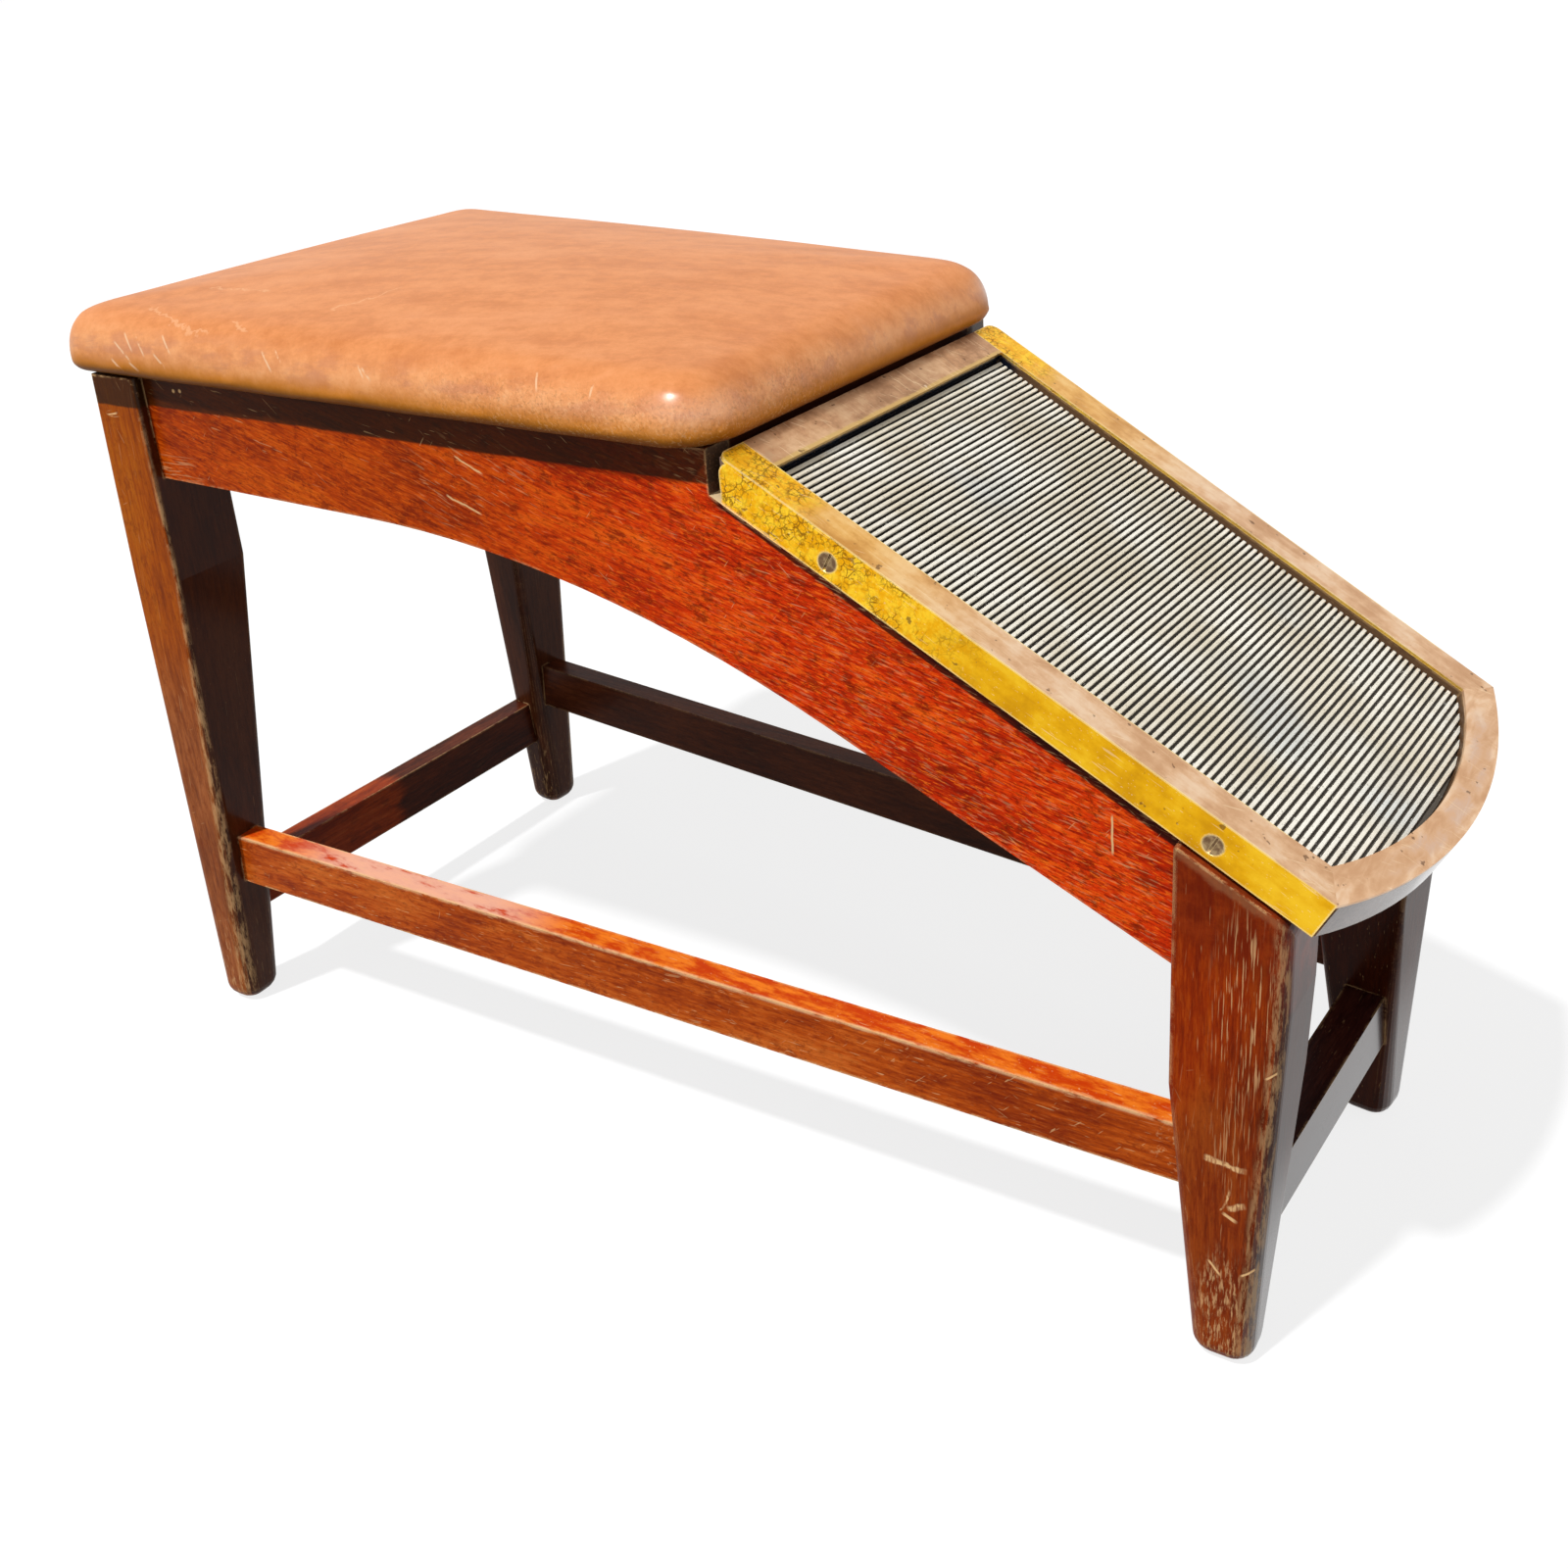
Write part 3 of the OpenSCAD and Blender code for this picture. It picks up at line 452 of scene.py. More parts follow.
def rail_bed(place, colour):
    """Fine fibres towards the front, the painted shadows below the seat and the brass, the bare bed
    and the end painted grey as a reflection.
    """
    fibre = grained(place, RAIL_GRAIN, RAIL_ACROSS, 0.006, 0.0009, 51, detail=3, roughness=0.6)
    front = place.along(X).step(-0.12, 0.1) * 0.45 + 0.2
    colour = ((1 - fibre.step(0.37, 0.43)) * front).mix(colour, (118, 12, 2))
    colour = (fibre.step(0.58, 0.635) * front).mix(colour, (255, 122, 30))
    # The seat's painted shadow on the rail.
    colour = painted_seat_shadow(place, colour)
    down = down_ramp(place)
    # Painted shadow: a dark line just below the brass, which stands proud of the rail.
    line = (above_ramp(place) + down * 0.022).step(-0.0202, -0.0194) * down.step(0.0, 0.01)
    colour = (line * 0.9).mix(colour, BRASS_SHADOW)
    bed = facing(place, UP_RAMP, 0.93, 0.98) * place.along(X).step(0.045, 0.047)
    colour = bed.mix(colour, (226, 200, 156))
    # Painted reflection: the end of the step, which looks forwards, is painted grey.
    end = facing(place, X, 0.9, 0.97) * place.along(Z).step(0.34, 0.345)
    return (end * 0.8).mix(colour, (84, 64, 52))


BEHIND = ((122, 32, 2), (190, 68, 3), (212, 94, 14))
AHEAD = ((160, 24, 2), (226, 56, 5), (250, 104, 20))
rail_wood = mahogany("rail_mahogany", BEHIND, RAIL_GRAIN, RAIL_ACROSS, lines=0.34, smudges=0.68,
                     scratches=0.45, wear=0.5, polish=0.5, second=(AHEAD, X, -0.14, 0.08),
                     marks=rail_marks, over=rail_bed)
dress(rail_wood, "side_rail_right", "side_rail_left")

# %% [markdown]
# The rear legs are orange brown above and a duller brown below, and the seat's painted shadow
# lies over their tops. The front legs take the knocks: a thicket of fine upright scratches runs
# down the middle of the outer face, there is one wide gouge and a chipped patch below it, and
# mops and shoes have scuffed the last few centimetres above the floor. Their tops, under the
# overhanging brass, are painted dark red as painted shade. On all four legs the outer front
# arris is worn to a broken pale line.

# %% Dress the legs
REAR_ABOVE = ((122, 48, 4), (166, 76, 4), (186, 98, 14))
REAR_BELOW = ((106, 48, 20), (158, 86, 42), (182, 112, 66))


def leg_arris(place):
    """A broken pale line down the outer front arris of a leg."""
    looks = eased(place)
    outwards = looks.along(Y) * place.along(Y).sign()
    line = ((looks.along(X) + outwards) * 0.707).step(0.8, 0.92)
    broken = grained(place, Z, X, 0.016, 0.003, 15, detail=5, roughness=0.75)
    return line * broken.step(0.44, 0.58)


def rear_leg_marks(place):
    nick = near(place, (-0.3025, -0.142, 0.357), (0.006, 0.01, 0.002))
    dash = streaks(place, (0.9, 0, 0.2), (-0.2, 0, 0.9), 0.012, 0.0012, 0.45, 0.55, 4)
    scuff = grained(place, Z, X, 0.01, 0.0012, 9).step(0.56, 0.66)
    foot = 1 - place.along(Z).step(0.015, 0.075)
    return (nick * dash | scuff * foot * 0.5 * (facing(place, RIGHT) * 0.8 + 0.2)
            | leg_arris(place) * (1 - place.along(Z).step(0.3, 0.36)) * 0.45)


# The seat's painted shadow is laid over the tops of the rear legs too.
rear_leg_wood = mahogany("rear_leg_mahogany", REAR_ABOVE, Z, X, lines=0.12, smudges=0.45,
                         scratches=0.3, wear=1.0, polish=0.12, seed=4,
                         second=(REAR_BELOW, (0, 0, -1), -0.25, -0.17), marks=rear_leg_marks,
                         over=painted_seat_shadow)
dress(rear_leg_wood, "rear_leg_right", "rear_leg_left")

FRONT_RED = ((108, 22, 2), (152, 48, 2), (178, 76, 12))
FRONT_BROWN = ((80, 25, 2), (128, 45, 6), (156, 70, 18))
KNOCKS = (((0.2762, -0.103, 0.0815), (0.2815, -0.1026, 0.079), 0.0011),
          ((0.2708, -0.1033, 0.055), (0.276, -0.103, 0.0488), 0.0008),
          ((0.2845, -0.1024, 0.052), (0.29, -0.102, 0.0565), 0.0008),
          ((0.2908, -0.102, 0.1528), (0.2956, -0.1016, 0.1568), 0.0007))


def front_leg_marks(place):
    upright = streaks(place, Z, X, 0.02, 0.0008, 0.57, 0.64, 3, 2)
    thicket = near(place, (0.281, -0.1026, 0.18), (0.016, 0.03, 0.056))
    lower = near(place, (0.279, -0.1027, 0.118), (0.012, 0.03, 0.035))
    gouge = scratch_line(place, (0.2679, -0.1035, 0.107), (0.2845, -0.1024, 0.1054), 0.0017,
                         waver=0.005)
    threads = streaks(place, Z, X, 0.004, 0.0009, 0.38, 0.55, 5, 2)
    chip = scratch_line(place, (0.2751, -0.103, 0.083), (0.2786, -0.1028, 0.094), 0.0007,
                        waver=0.005) | scratch_line(
        place, (0.278, -0.103, 0.085), (0.285, -0.1023, 0.088), 0.002, waver=0.008)
    knocks = strongest(scratch_line(place, *ends, waver=0.001) for ends in KNOCKS)
    foot = near(place, (0.277, -0.103, 0.024), (0.017, 0.05, 0.046))
    scuff = grained(place, Z, X, 0.008, 0.0013, 9, detail=4, roughness=0.7).step(0.5, 0.62)
    spread = streaks(place, Z, X, 0.014, 0.0008, 0.68, 0.74, 19, 2) * 0.3
    cloud = noise(place, 120, 5, roughness=0.7)
    top = (above_ramp(place) + cloud * 0.008).step(-0.0215, -0.0185)
    return (upright * (thicket * 0.6 | lower * 0.35) | gouge * (threads * 0.6 + 0.35)
            | chip * (threads * 0.6 + 0.25) | knocks | foot * scuff * 0.55 | spread
            | top * 0.12) * (facing(place, RIGHT) * 0.85 + 0.15) | leg_arris(place) * 0.35


def painted_top_shade(place, colour):
    """Painted shade: the top of a front leg, dark red under the overhanging brass."""
    cloud = noise(place, 70, 5, roughness=0.7)
    dark = (above_ramp(place) + cloud * 0.03 - 0.015).step(-0.062, -0.04)
    return (dark * 0.7).mix(colour, cloud.step(0.4, 0.65).mix((96, 22, 4), (138, 48, 12)))


front_leg_wood = mahogany("front_leg_mahogany", FRONT_RED, Z, X, wear=0.8, polish=0.85,
                          dull_above=0.04, seed=8, marks=front_leg_marks, over=painted_top_shade,
                          second=(FRONT_BROWN, (0.94, 0, -0.34), 0.196, 0.222))
dress(front_leg_wood, "front_leg_right", "front_leg_left")

# %% [markdown]
# Shoes rest on the near side stretcher, and its upper arris is worn to a pale broken line.
# Its top is painted a brighter red than its side as painted light, with a pale pink painted
# sheen towards the rear. The other stretchers are painted dark to almost black as painted
# shade, for they stand in the shade of the seat and the ramp, and the red towards the near
# end of the rear one is painted sunlight.

# %% Dress the stretchers


def stretcher_marks(place):
    end = near(place, (0.262, -0.09, 0.096), (0.03, 0.04, 0.02))
    blotch = noise(place, 210, 4, roughness=0.7).step(0.56, 0.64)
    fleck = streaks(place, X, Z, 0.012, 0.001, 0.7, 0.75, 6) * 0.5
    hooks = streaks(place, (0.7, 0, 0.7), (0.7, 0, -0.7), 0.012, 0.001, 0.71, 0.76, 9) * 0.5
    ahead = place.along(X).step(0.0, 0.12)
    return end * blotch * 0.5 | fleck | hooks * ahead


def sunlit_red_top(place, colour):
    """Painted light on the top: a brighter red, with a pale pink painted sheen towards the rear."""
    # Painted light: the top is painted a brighter red than the side.
    up = facing(place, Z, 0.75, 0.9)
    mottle = grained(place, X, Y, 0.02, 0.006, 2, detail=5, roughness=0.7)
    red = mottle.step(0.4, 0.62).mix((208, 62, 6), (250, 132, 34))
    colour = (up * 0.85).mix(colour, red)
    # Painted sheen: a pale pink patch on the top towards the rear.
    painted_sheen = near(place, (-0.165, -0.12, 0.108), (0.105, 0.05, 0.03)) * mottle.step(0.3, 0.48)
    colour = (painted_sheen * up * 0.75).mix(colour, (242, 190, 166))
    arris = eased(place).along((0, -0.707, 0.707)).step(0.74, 0.87)
    broken = grained(place, X, Z, 0.014, 0.005, 14, detail=4, roughness=0.7)
    return (arris * broken.step(0.36, 0.54) * 0.8).mix(colour, (246, 196, 146))


side_bar_wood = mahogany("side_stretcher_mahogany", ((124, 34, 4), (187, 78, 13), (216, 114, 42)),
                         X, Z, lines=0.18, smudges=0.5, scratches=0.3, wear=1.0, polish=0.3,
                         seed=12, marks=stretcher_marks, over=sunlit_red_top)
# The dark tones of the far, front and rear stretchers are painted shade: these stretchers stand in
# the shade of the seat and the ramp.
far_bar_wood = mahogany("far_stretcher_mahogany", ((60, 26, 14), (96, 46, 24), (126, 66, 36)),
                        X, Z, lines=0.15, scratches=0.1, polish=0.1, shade_and_stain=0.4, seed=13)
front_bar_wood = mahogany("front_stretcher_mahogany", ((30, 10, 8), (54, 22, 18), (76, 36, 26)),
                          Y, Z, wear=0.45, polish=1.0, shade_and_stain=0.5, seed=16)
# Painted sunlight: the redder tones towards the near end of the rear stretcher.
rear_bar_wood = mahogany("rear_stretcher_mahogany", ((44, 16, 8), (78, 32, 16), (110, 50, 26)),
                         Y, Z, scratches=0.1, wear=0.4, polish=0.02, shade_and_stain=0.2, seed=18,
                         second=(((110, 32, 8), (160, 62, 22), (190, 92, 46)), RIGHT, 0, 0.012))
dress(side_bar_wood, "side_stretcher_right")
dress(far_bar_wood, "side_stretcher_left")
dress(front_bar_wood, "front_stretcher")
dress(rear_bar_wood, "rear_stretcher")

# %% [markdown]
# The ramp board is hidden but for its front edge, which shows below the bowed brass plate,
# and the walls of the recess that the mat lies in. Those walls are painted blue black under
# the top bar and brown along the sides as painted shade, so the board changes colour wherever
# it lies just below the brass and inside the frame. The board's grey brown tones are partly a
# painted reflection on its glossy front edge.

# %% Dress the ramp board and the seat rails
BOW_MIDDLE, BOW_RADIUS = RAMP_TOP + DOWN_RAMP * 0.0894, 0.225


def from_bow_middle(place):
    """How far a point lies from the centre of the bowed plate's curve."""
    down, aside = down_ramp(place, BOW_MIDDLE), place.along(Y)
    return (down * down + aside * aside).root()


def painted_recess_shade(place, colour):
    # Painted shade: the recess walls just below the brass are darkened, blue black under the top
    # bar and brown along the sides.
    down, aside = down_ramp(place, BOW_MIDDLE), place.along(Y)
    inside = 1 - from_bow_middle(place).step(BOW_RADIUS - 0.009, BOW_RADIUS - 0.008)
    within = 1 - abs(aside).step(0.0925, 0.0935)
    upper = 1 - abs(aside).step(0.1015, 0.1025)
    within = within | upper * (1 - down.step(0.02, 0.1))
    dirt_and_shade = above_ramp(place).step(-0.0085, -0.008) * inside * within
    wall = down_ramp(place).step(0.024, 0.034)
    return dirt_and_shade.mix(colour, wall.mix((14, 18, 30), (92, 68, 48)))


# The grey brown tones are partly a painted reflection, for the glossy front edge that looks
# forwards.
ramp_wood = mahogany("ramp_board_mahogany", ((76, 56, 48), (112, 92, 84), (136, 116, 106)),
                     DOWN_RAMP, Y, polish=1.0, shade_and_stain=0, seed=20, over=painted_recess_shade)
inner_wood = mahogany("seat_rail_mahogany", ((56, 20, 10), (92, 38, 18), (124, 60, 32)), Y, Z,
                      lines=0.4, seed=24)
dress(ramp_wood, "ramp_board", "glue_blocks")
dress(inner_wood, "rear_rail", "cross_rail")

# %% [markdown]
# Under the seat and ramp the wood is bare: a thin board, and square cleats that hold the
# screws. Bare wood is dull, so it has no coat, and its grain is softer in contrast.

# %% Dress the bare wood underneath


def bare_wood(name, dark, light, grain, across, seed=0.0):
    material, place = new_finish(name, Roughness=0.75)
    streak = grained(place, grain, across, 0.08, 0.003, seed, detail=5, distortion=0.6)
    ring = grained(place, grain, across, 0.3, 0.02, seed + 5)
    tone = (streak * 0.6 + ring * 0.4).step(0.35, 0.65)
    shade_and_stain = noise(place, 22, 4).step(0.5, 0.75) * 0.4
    colour = shade_and_stain.mix(tone.mix(dark, light), deeper(dark, 0.6))
    return connect(material, Base_Color=colour, Normal=bump(streak, 0.3, 0.0005))


dress(bare_wood("plain_board", (150, 112, 72), (196, 158, 112), X, Y), "seat_board")
dress(bare_wood("plain_cleat", (112, 74, 42), (158, 114, 70), X, Z, seed=3),
      "seat_cleat_right", "seat_cleat_left", "ramp_cleat_right", "ramp_cleat_left")

# %% [markdown]
# ## Aged brass
# The brass edge is old sheet, lacquered long ago. Where the lacquer has crazed, a fine net of
# dark lines lies over bright gold: that is only near the top. Further down the outer face is
# smooth mustard yellow and the upper face has been rubbed by shoes to a pinkish tan. Metal
# has almost no colour of its own apart from what it mirrors, so the colours are laid as the
# metal's tint and a fairly rough surface keeps them soft.

# %% Patterns for brass
HAIRLINE, PIT = (255, 232, 190), (98, 64, 36)


def cracks(place, size, thin):
    """A net of fine lines, as in crazed lacquer."""
    shaken = noise(place, 0.6 / size, 3, roughness=0.7)
    small = place.node("VectorMath", put={0: place, 3: 1 / size}, operation="SCALE")
    moved = place.node("VectorMath", put={0: small, 1: shaken * 1.7}, operation="ADD")
    cell = moved.node("TexVoronoi", out="Distance", put={"Vector": moved, "Scale": 1.0},
                      feature="DISTANCE_TO_EDGE")
    return 1 - cell.step(0.0, thin)


def fine_marks(place, colour, amount=0.5):
    """Pits and hairline scratches."""
    pit = noise(place, 230, 2).step(0.69, 0.74)
    colour = (pit * 0.7).mix(colour, PIT)
    tilt = (DOWN_RAMP + Vector(Y) * 0.6).normalized()
    hair = streaks(place, tilt, UP_RAMP, 0.012, 0.0008, 0.69, 0.75) * amount
    hair = hair | streaks(place, DOWN_RAMP, Y, 0.02, 0.0008, 0.68, 0.74, 8) * amount
    colour = (hair * 0.6).mix(colour, HAIRLINE)
    return colour, pit | hair * 0.5


print("the ramp falls", round(math.degrees(SLOPE), 1), "degrees")

# %% Dress the side angles


def side_brass():
    material, place = new_finish("side_brass", Metallic=0.9)
    down, flat = down_ramp(place), facing(place, UP_RAMP)
    cloud = noise(place, 42, 5, roughness=0.65)
    smear = grained(place, DOWN_RAMP, Y, 0.03, 0.004, detail=4)
    soft = cloud * 0.72 + smear * 0.28
    mustard = soft.step(0.34, 0.66).tones((204, 144, 4), (228, 170, 10), (242, 194, 36))
    tan = soft.step(0.36, 0.66).tones((200, 152, 110), (222, 180, 140), (236, 206, 174))
    orange = soft.step(0.36, 0.66).tones((204, 144, 66), (230, 176, 96), (242, 200, 130))
    tan = (down + cloud * 0.03).step(0.07, 0.17).mix(orange, tan)
    colour = flat.mix(mustard, tan)
    reach = down + cloud * 0.03 - 0.015
    side_gold = (1 - reach.step(0.09, 0.15)) * (1 - flat)
    top_gold = (1 - reach.step(0.03, 0.052)) * flat
    gold = side_gold | top_gold
    shine = noise(place, 190, 4, roughness=0.75)
    colour = gold.mix(colour, shine.step(0.4, 0.62).mix((242, 174, 4), (255, 208, 44)))
    net = cracks(place, 0.0034, 0.14) | cracks(place, 0.0016, 0.12) * 0.4
    patchy = noise(place, 90, 3).step(0.4, 0.6)
    dark = net * (patchy * 0.7 + 0.1) * gold
    colour = dark.mix(colour, (104, 60, 4))
    colour, spoiled = fine_marks(place, colour)
    mitre = 1 - flat * down.step(0.262, 0.268)
    edge = worn_edges(place, 0.0014, 0.01, 0.07) * smear.step(0.25, 0.42) * mitre
    colour = (edge * 0.8).mix(colour, (255, 236, 170))
    height = smear * 0.1 + cloud * 0.4 - dark * 0.6 - spoiled * 0.5
    return connect(material, Base_Color=colour, Roughness=cloud * 0.2 + dark * 0.2 + 0.3,
                   Normal=bump(height, 0.22, 0.0005))


dress(side_brass(), "brass_angle_right", "brass_angle_left")

# %% [markdown]
# The top bar is browner, with dark corners where no cloth reaches and a golden line along
# its lower edge. The bowed plate is tan at its ends, with mauve grey smudges along the
# middle, where people step on it.

# %% Dress the top bar and the bowed plate


def top_bar_brass():
    material, place = new_finish("top_bar_brass", Metallic=0.85)
    down = down_ramp(place)
    cloud = noise(place, 50, 5, roughness=0.7)
    smear = grained(place, Y, DOWN_RAMP, 0.03, 0.004, detail=4)
    colour = (cloud * 0.8 + smear * 0.2).step(0.36, 0.66).tones(
        (166, 120, 82), (206, 158, 116), (226, 186, 144))
    corner = abs(place.along(Y)).step(0.074, 0.098)
    colour = (corner * cloud.step(0.42, 0.6) * 0.4).mix(colour, (112, 74, 46))
    dull = 1 - abs(place.along(Y)).step(0.02, 0.06)
    colour = (dull * 0.3).mix(colour, (150, 116, 88))
    lip = (down + cloud * 0.002).step(0.0162, 0.0174)
    colour = (lip * 0.8).mix(colour, (214, 178, 104))
    speck = noise(place, 180, 2).step(0.7, 0.74)
    colour = (speck * 0.8).mix(colour, (226, 206, 176))
    colour, spoiled = fine_marks(place, colour, 0.8)
    return connect(material, Base_Color=colour, Roughness=cloud * 0.2 + 0.32,
                   Normal=bump(smear * 0.1 + cloud * 0.4 - spoiled * 0.5, 0.2, 0.0005))


def bow_brass():
    material, place = new_finish("bow_brass", Metallic=0.75)
    aside, far = place.along(Y), from_bow_middle(place)
    cloud = noise(place, 30, 5, roughness=0.65, distortion=0.5)
    smear = grained(place, Y, DOWN_RAMP, 0.02, 0.006, detail=4, distortion=0.8)
    soft = cloud * 0.5 + smear * 0.5
    tan = soft.step(0.36, 0.66).tones((204, 156, 114), (224, 182, 142), (238, 208, 176))
    middle = 1 - abs(far + smear * 0.006 - (BOW_RADIUS - 0.004)).step(0.002, 0.0065)
    inwards = 1 - abs(aside + cloud * 0.03 - 0.015).step(0.055, 0.085)
    mauve = middle * inwards * soft.step(0.44, 0.56)
    colour = (mauve * 0.35).mix(tan, (176, 146, 144))
    colour = (mauve * cloud.step(0.58, 0.66) * 0.2).mix(colour, (126, 98, 96))
    colour, spoiled = fine_marks(place, colour, 0.5)
    return connect(material, Base_Color=colour, Roughness=cloud * 0.2 + 0.34,
                   Normal=bump(smear * 0.4 + cloud * 0.4 - spoiled * 0.5, 0.2, 0.0005))


dress(top_bar_brass(), "brass_top_bar")
dress(bow_brass(), "brass_bow_plate")

# %% [markdown]
# The screws are older and browner than the sheet that they hold, with a pale ring where the
# driver and the countersink have rubbed them, which also stands for a painted highlight on
# the rim. The hidden screws are plain dull steel.

# %% Dress the screws


def screw_metal(name, dark, light):
    material, place = new_finish(name, Metallic=0.8)
    cloud = noise(place, 420, 4)
    edge = worn_edges(place, 0.0006, 0.03, 0.2)
    # The pale ring on the rims is rubbed metal, and partly a painted highlight.
    colour = (edge * 0.6 + cloud.step(0.4, 0.7) * 0.4).mix(dark, light)
    return connect(material, Base_Color=colour, Roughness=cloud * 0.3 + 0.3,
                   Normal=bump(cloud, 0.3, 0.0002))


dress(screw_metal("old_brass_screw", (112, 84, 58), (232, 204, 150)), "angle_screws")
dress(screw_metal("dull_steel_screw", (92, 90, 86), (150, 148, 142)), "seat_screws",
      "ramp_screws")

# %% [markdown]
# ## The ribbed mat
# The mat is corrugated rubber: cream on the crests, where it is dry and worn, and darker grey
# in the grooves. The ribs are real geometry, so the colour only has to know how high a point
# lies above the floor of the groove, measured square to the ramp.

# %% Build the mat's finish
CREST, ROOT = -0.0046, -0.0062


def ribbed_rubber():
    material, place = new_finish("worn_ribbed_rubber", Specular_IOR_Level=0.2)
    height = above_ramp(place)
    fleck = noise(place, 420, 3)
    grime = noise(place, 26, 4)
    crest = (height + fleck * 0.0007 - 0.00035).step(ROOT + 0.0005, CREST - 0.0002)
    cream = grime.step(0.35, 0.7).mix((222, 212, 190), (246, 242, 230))
    blue = noise(place, 11, 2).step(0.5, 0.68) * 0.5
    cream = blue.mix(cream, (200, 208, 212))
    lower = down_ramp(place).step(0.06, 0.22)
    groove = lower.mix(blue.mix((50, 44, 38), (44, 50, 64)), (88, 82, 74))
    colour = crest.mix(groove, cream)
    dirt_and_shade = noise(place, 900, 1).step(0.66, 0.72) * crest
    colour = (dirt_and_shade * 0.55).mix(colour, (120, 110, 92))
    chip = grained(place, Y, DOWN_RAMP, 0.004, 0.0012, detail=2)
    worn = chip.step(0.66, 0.7) * grime.step(0.46, 0.58) * 0.85
    colour = worn.mix(colour, (238, 236, 228))
    return connect(material, Base_Color=colour, Roughness=0.5 + fleck * 0.3,
                   Normal=bump(fleck, 0.35, 0.0003))


dress(ribbed_rubber(), "rubber_mat")

# %% [markdown]
# ## The cushion
# The seat is a stuffed pad under one piece of tan leather, drawn down over the edge and
# tacked underneath. We could draw its crown by hand, but stuffing has a shape of its own, so
# we let Blender's cloth blow it up: a flat pad with rounded edges is remeshed into small even
# faces, its underside is pinned to the board, and pressure from inside lifts the rest.

# %% Shape the flat pad
low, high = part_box("seat_cover")
PAD_LOW, PAD_RIM = low.z, low.z + 0.0287
REAR_HALF, FRONT_HALF = 0.1472, 0.1238
REAR_RISE = 0.0036
CORNER_ROUNDS = ((1, 0.025), (-1, 0.018))
ROLL, LOWER_ROUND = 0.019, 0.006


def select_edges(mesh, test):
    """Selects the edges that pass a test, in edit mode, and nothing else."""
    for thing in (*mesh.faces, *mesh.edges, *mesh.verts):
        thing.select_set(False)
    for edge in mesh.edges:
        if test(edge):
            edge.select_set(True)


def flat_pad():
    bpy.ops.object.select_all(action="DESELECT")
    middle = ((low.x + high.x) / 2, 0, (PAD_LOW + PAD_RIM) / 2)
    bpy.ops.mesh.primitive_cube_add(size=1, location=middle)
    pad = bpy.context.object
    pad.name = pad.data.name = "seat_cushion"
    pad.dimensions = (high.x - low.x + 0.003, 2 * REAR_HALF, PAD_RIM - PAD_LOW)
    bpy.ops.object.transform_apply(location=True, rotation=True, scale=True)
    for v in pad.data.vertices:
        if v.co.x > 0:
            v.co.y *= FRONT_HALF / REAR_HALF
        elif v.co.z > middle[2]:
            v.co.z += REAR_RISE
    bpy.ops.object.mode_set(mode="EDIT")
    mesh = bmesh.from_edit_mesh(pad.data)
    bpy.ops.mesh.select_mode(type="EDGE")
    for side, radius in CORNER_ROUNDS:
        select_edges(mesh, lambda e: abs(e.verts[0].co.z - e.verts[1].co.z) > 0.01
                     and e.verts[0].co.x * side > 0)
        bpy.ops.mesh.bevel(offset=radius, segments=7, affect="EDGES")
    for side, radius in ((1, ROLL), (-1, LOWER_ROUND)):
        select_edges(mesh, lambda e: all((v.co.z - middle[2]) * side > 0 for v in e.verts)
                     and abs(e.link_faces[0].normal.z - e.link_faces[1].normal.z) > 0.5)
        bpy.ops.mesh.bevel(offset=radius, segments=6, affect="EDGES")
    bpy.ops.object.mode_set(mode="OBJECT")
    print("flat pad:", len(pad.data.polygons), "faces", [round(v, 4) for v in pad.dimensions])
    return pad


cushion = flat_pad()

# %% [markdown]
# The remesh size sets the finest fold that can form. Cloth presses outwards on every face, so
# the rim would swell as much as the top: we cap how far a point may move, and let the top
# rise more than the sides, as a pad does that is stitched to a board all round. The leather
# is thick and was stretched wet, so the roll at the edge is wide and soft: a smoothing that
# fades out towards the tacked lower edge gives it that.

# %% Blow the pad up
CROWN, MOST_SIDEWAYS = 0.0105, 0.001
VOXEL = 0.0045


def apply_new(thing, name, kind, **settings):
    modifier = thing.modifiers.new(name, kind)
    for key, value in settings.items():
        setattr(modifier, key, value)
    bpy.ops.object.modifier_apply(modifier=modifier.name)


def blow_up(thing, pressure, frames):
    start = [v.co.copy() for v in thing.data.vertices]
    pins = thing.vertex_groups.new(name="board")
    pins.add([v.index for v in thing.data.vertices if v.co.z < PAD_LOW + 0.007], 1.0, "REPLACE")
    cloth = thing.modifiers.new("stuffing", "CLOTH")
    set_up = cloth.settings
    set_up.use_pressure, set_up.uniform_pressure_force = True, pressure
    set_up.effector_weights.gravity = 0
    set_up.vertex_group_mass = "board"
    set_up.tension_stiffness = set_up.compression_stiffness = 12
    set_up.bending_stiffness = 2
    set_up.quality = 6
    cloth.point_cache.frame_start, cloth.point_cache.frame_end = 1, frames
    for number in range(1, frames + 1):
        bpy.context.scene.frame_set(number)
    shape = thing.evaluated_get(bpy.context.evaluated_depsgraph_get()).data
    moved = [v.co.copy() for v in shape.vertices]
    thing.modifiers.remove(cloth)
    bpy.context.scene.frame_set(1)
    return start, moved


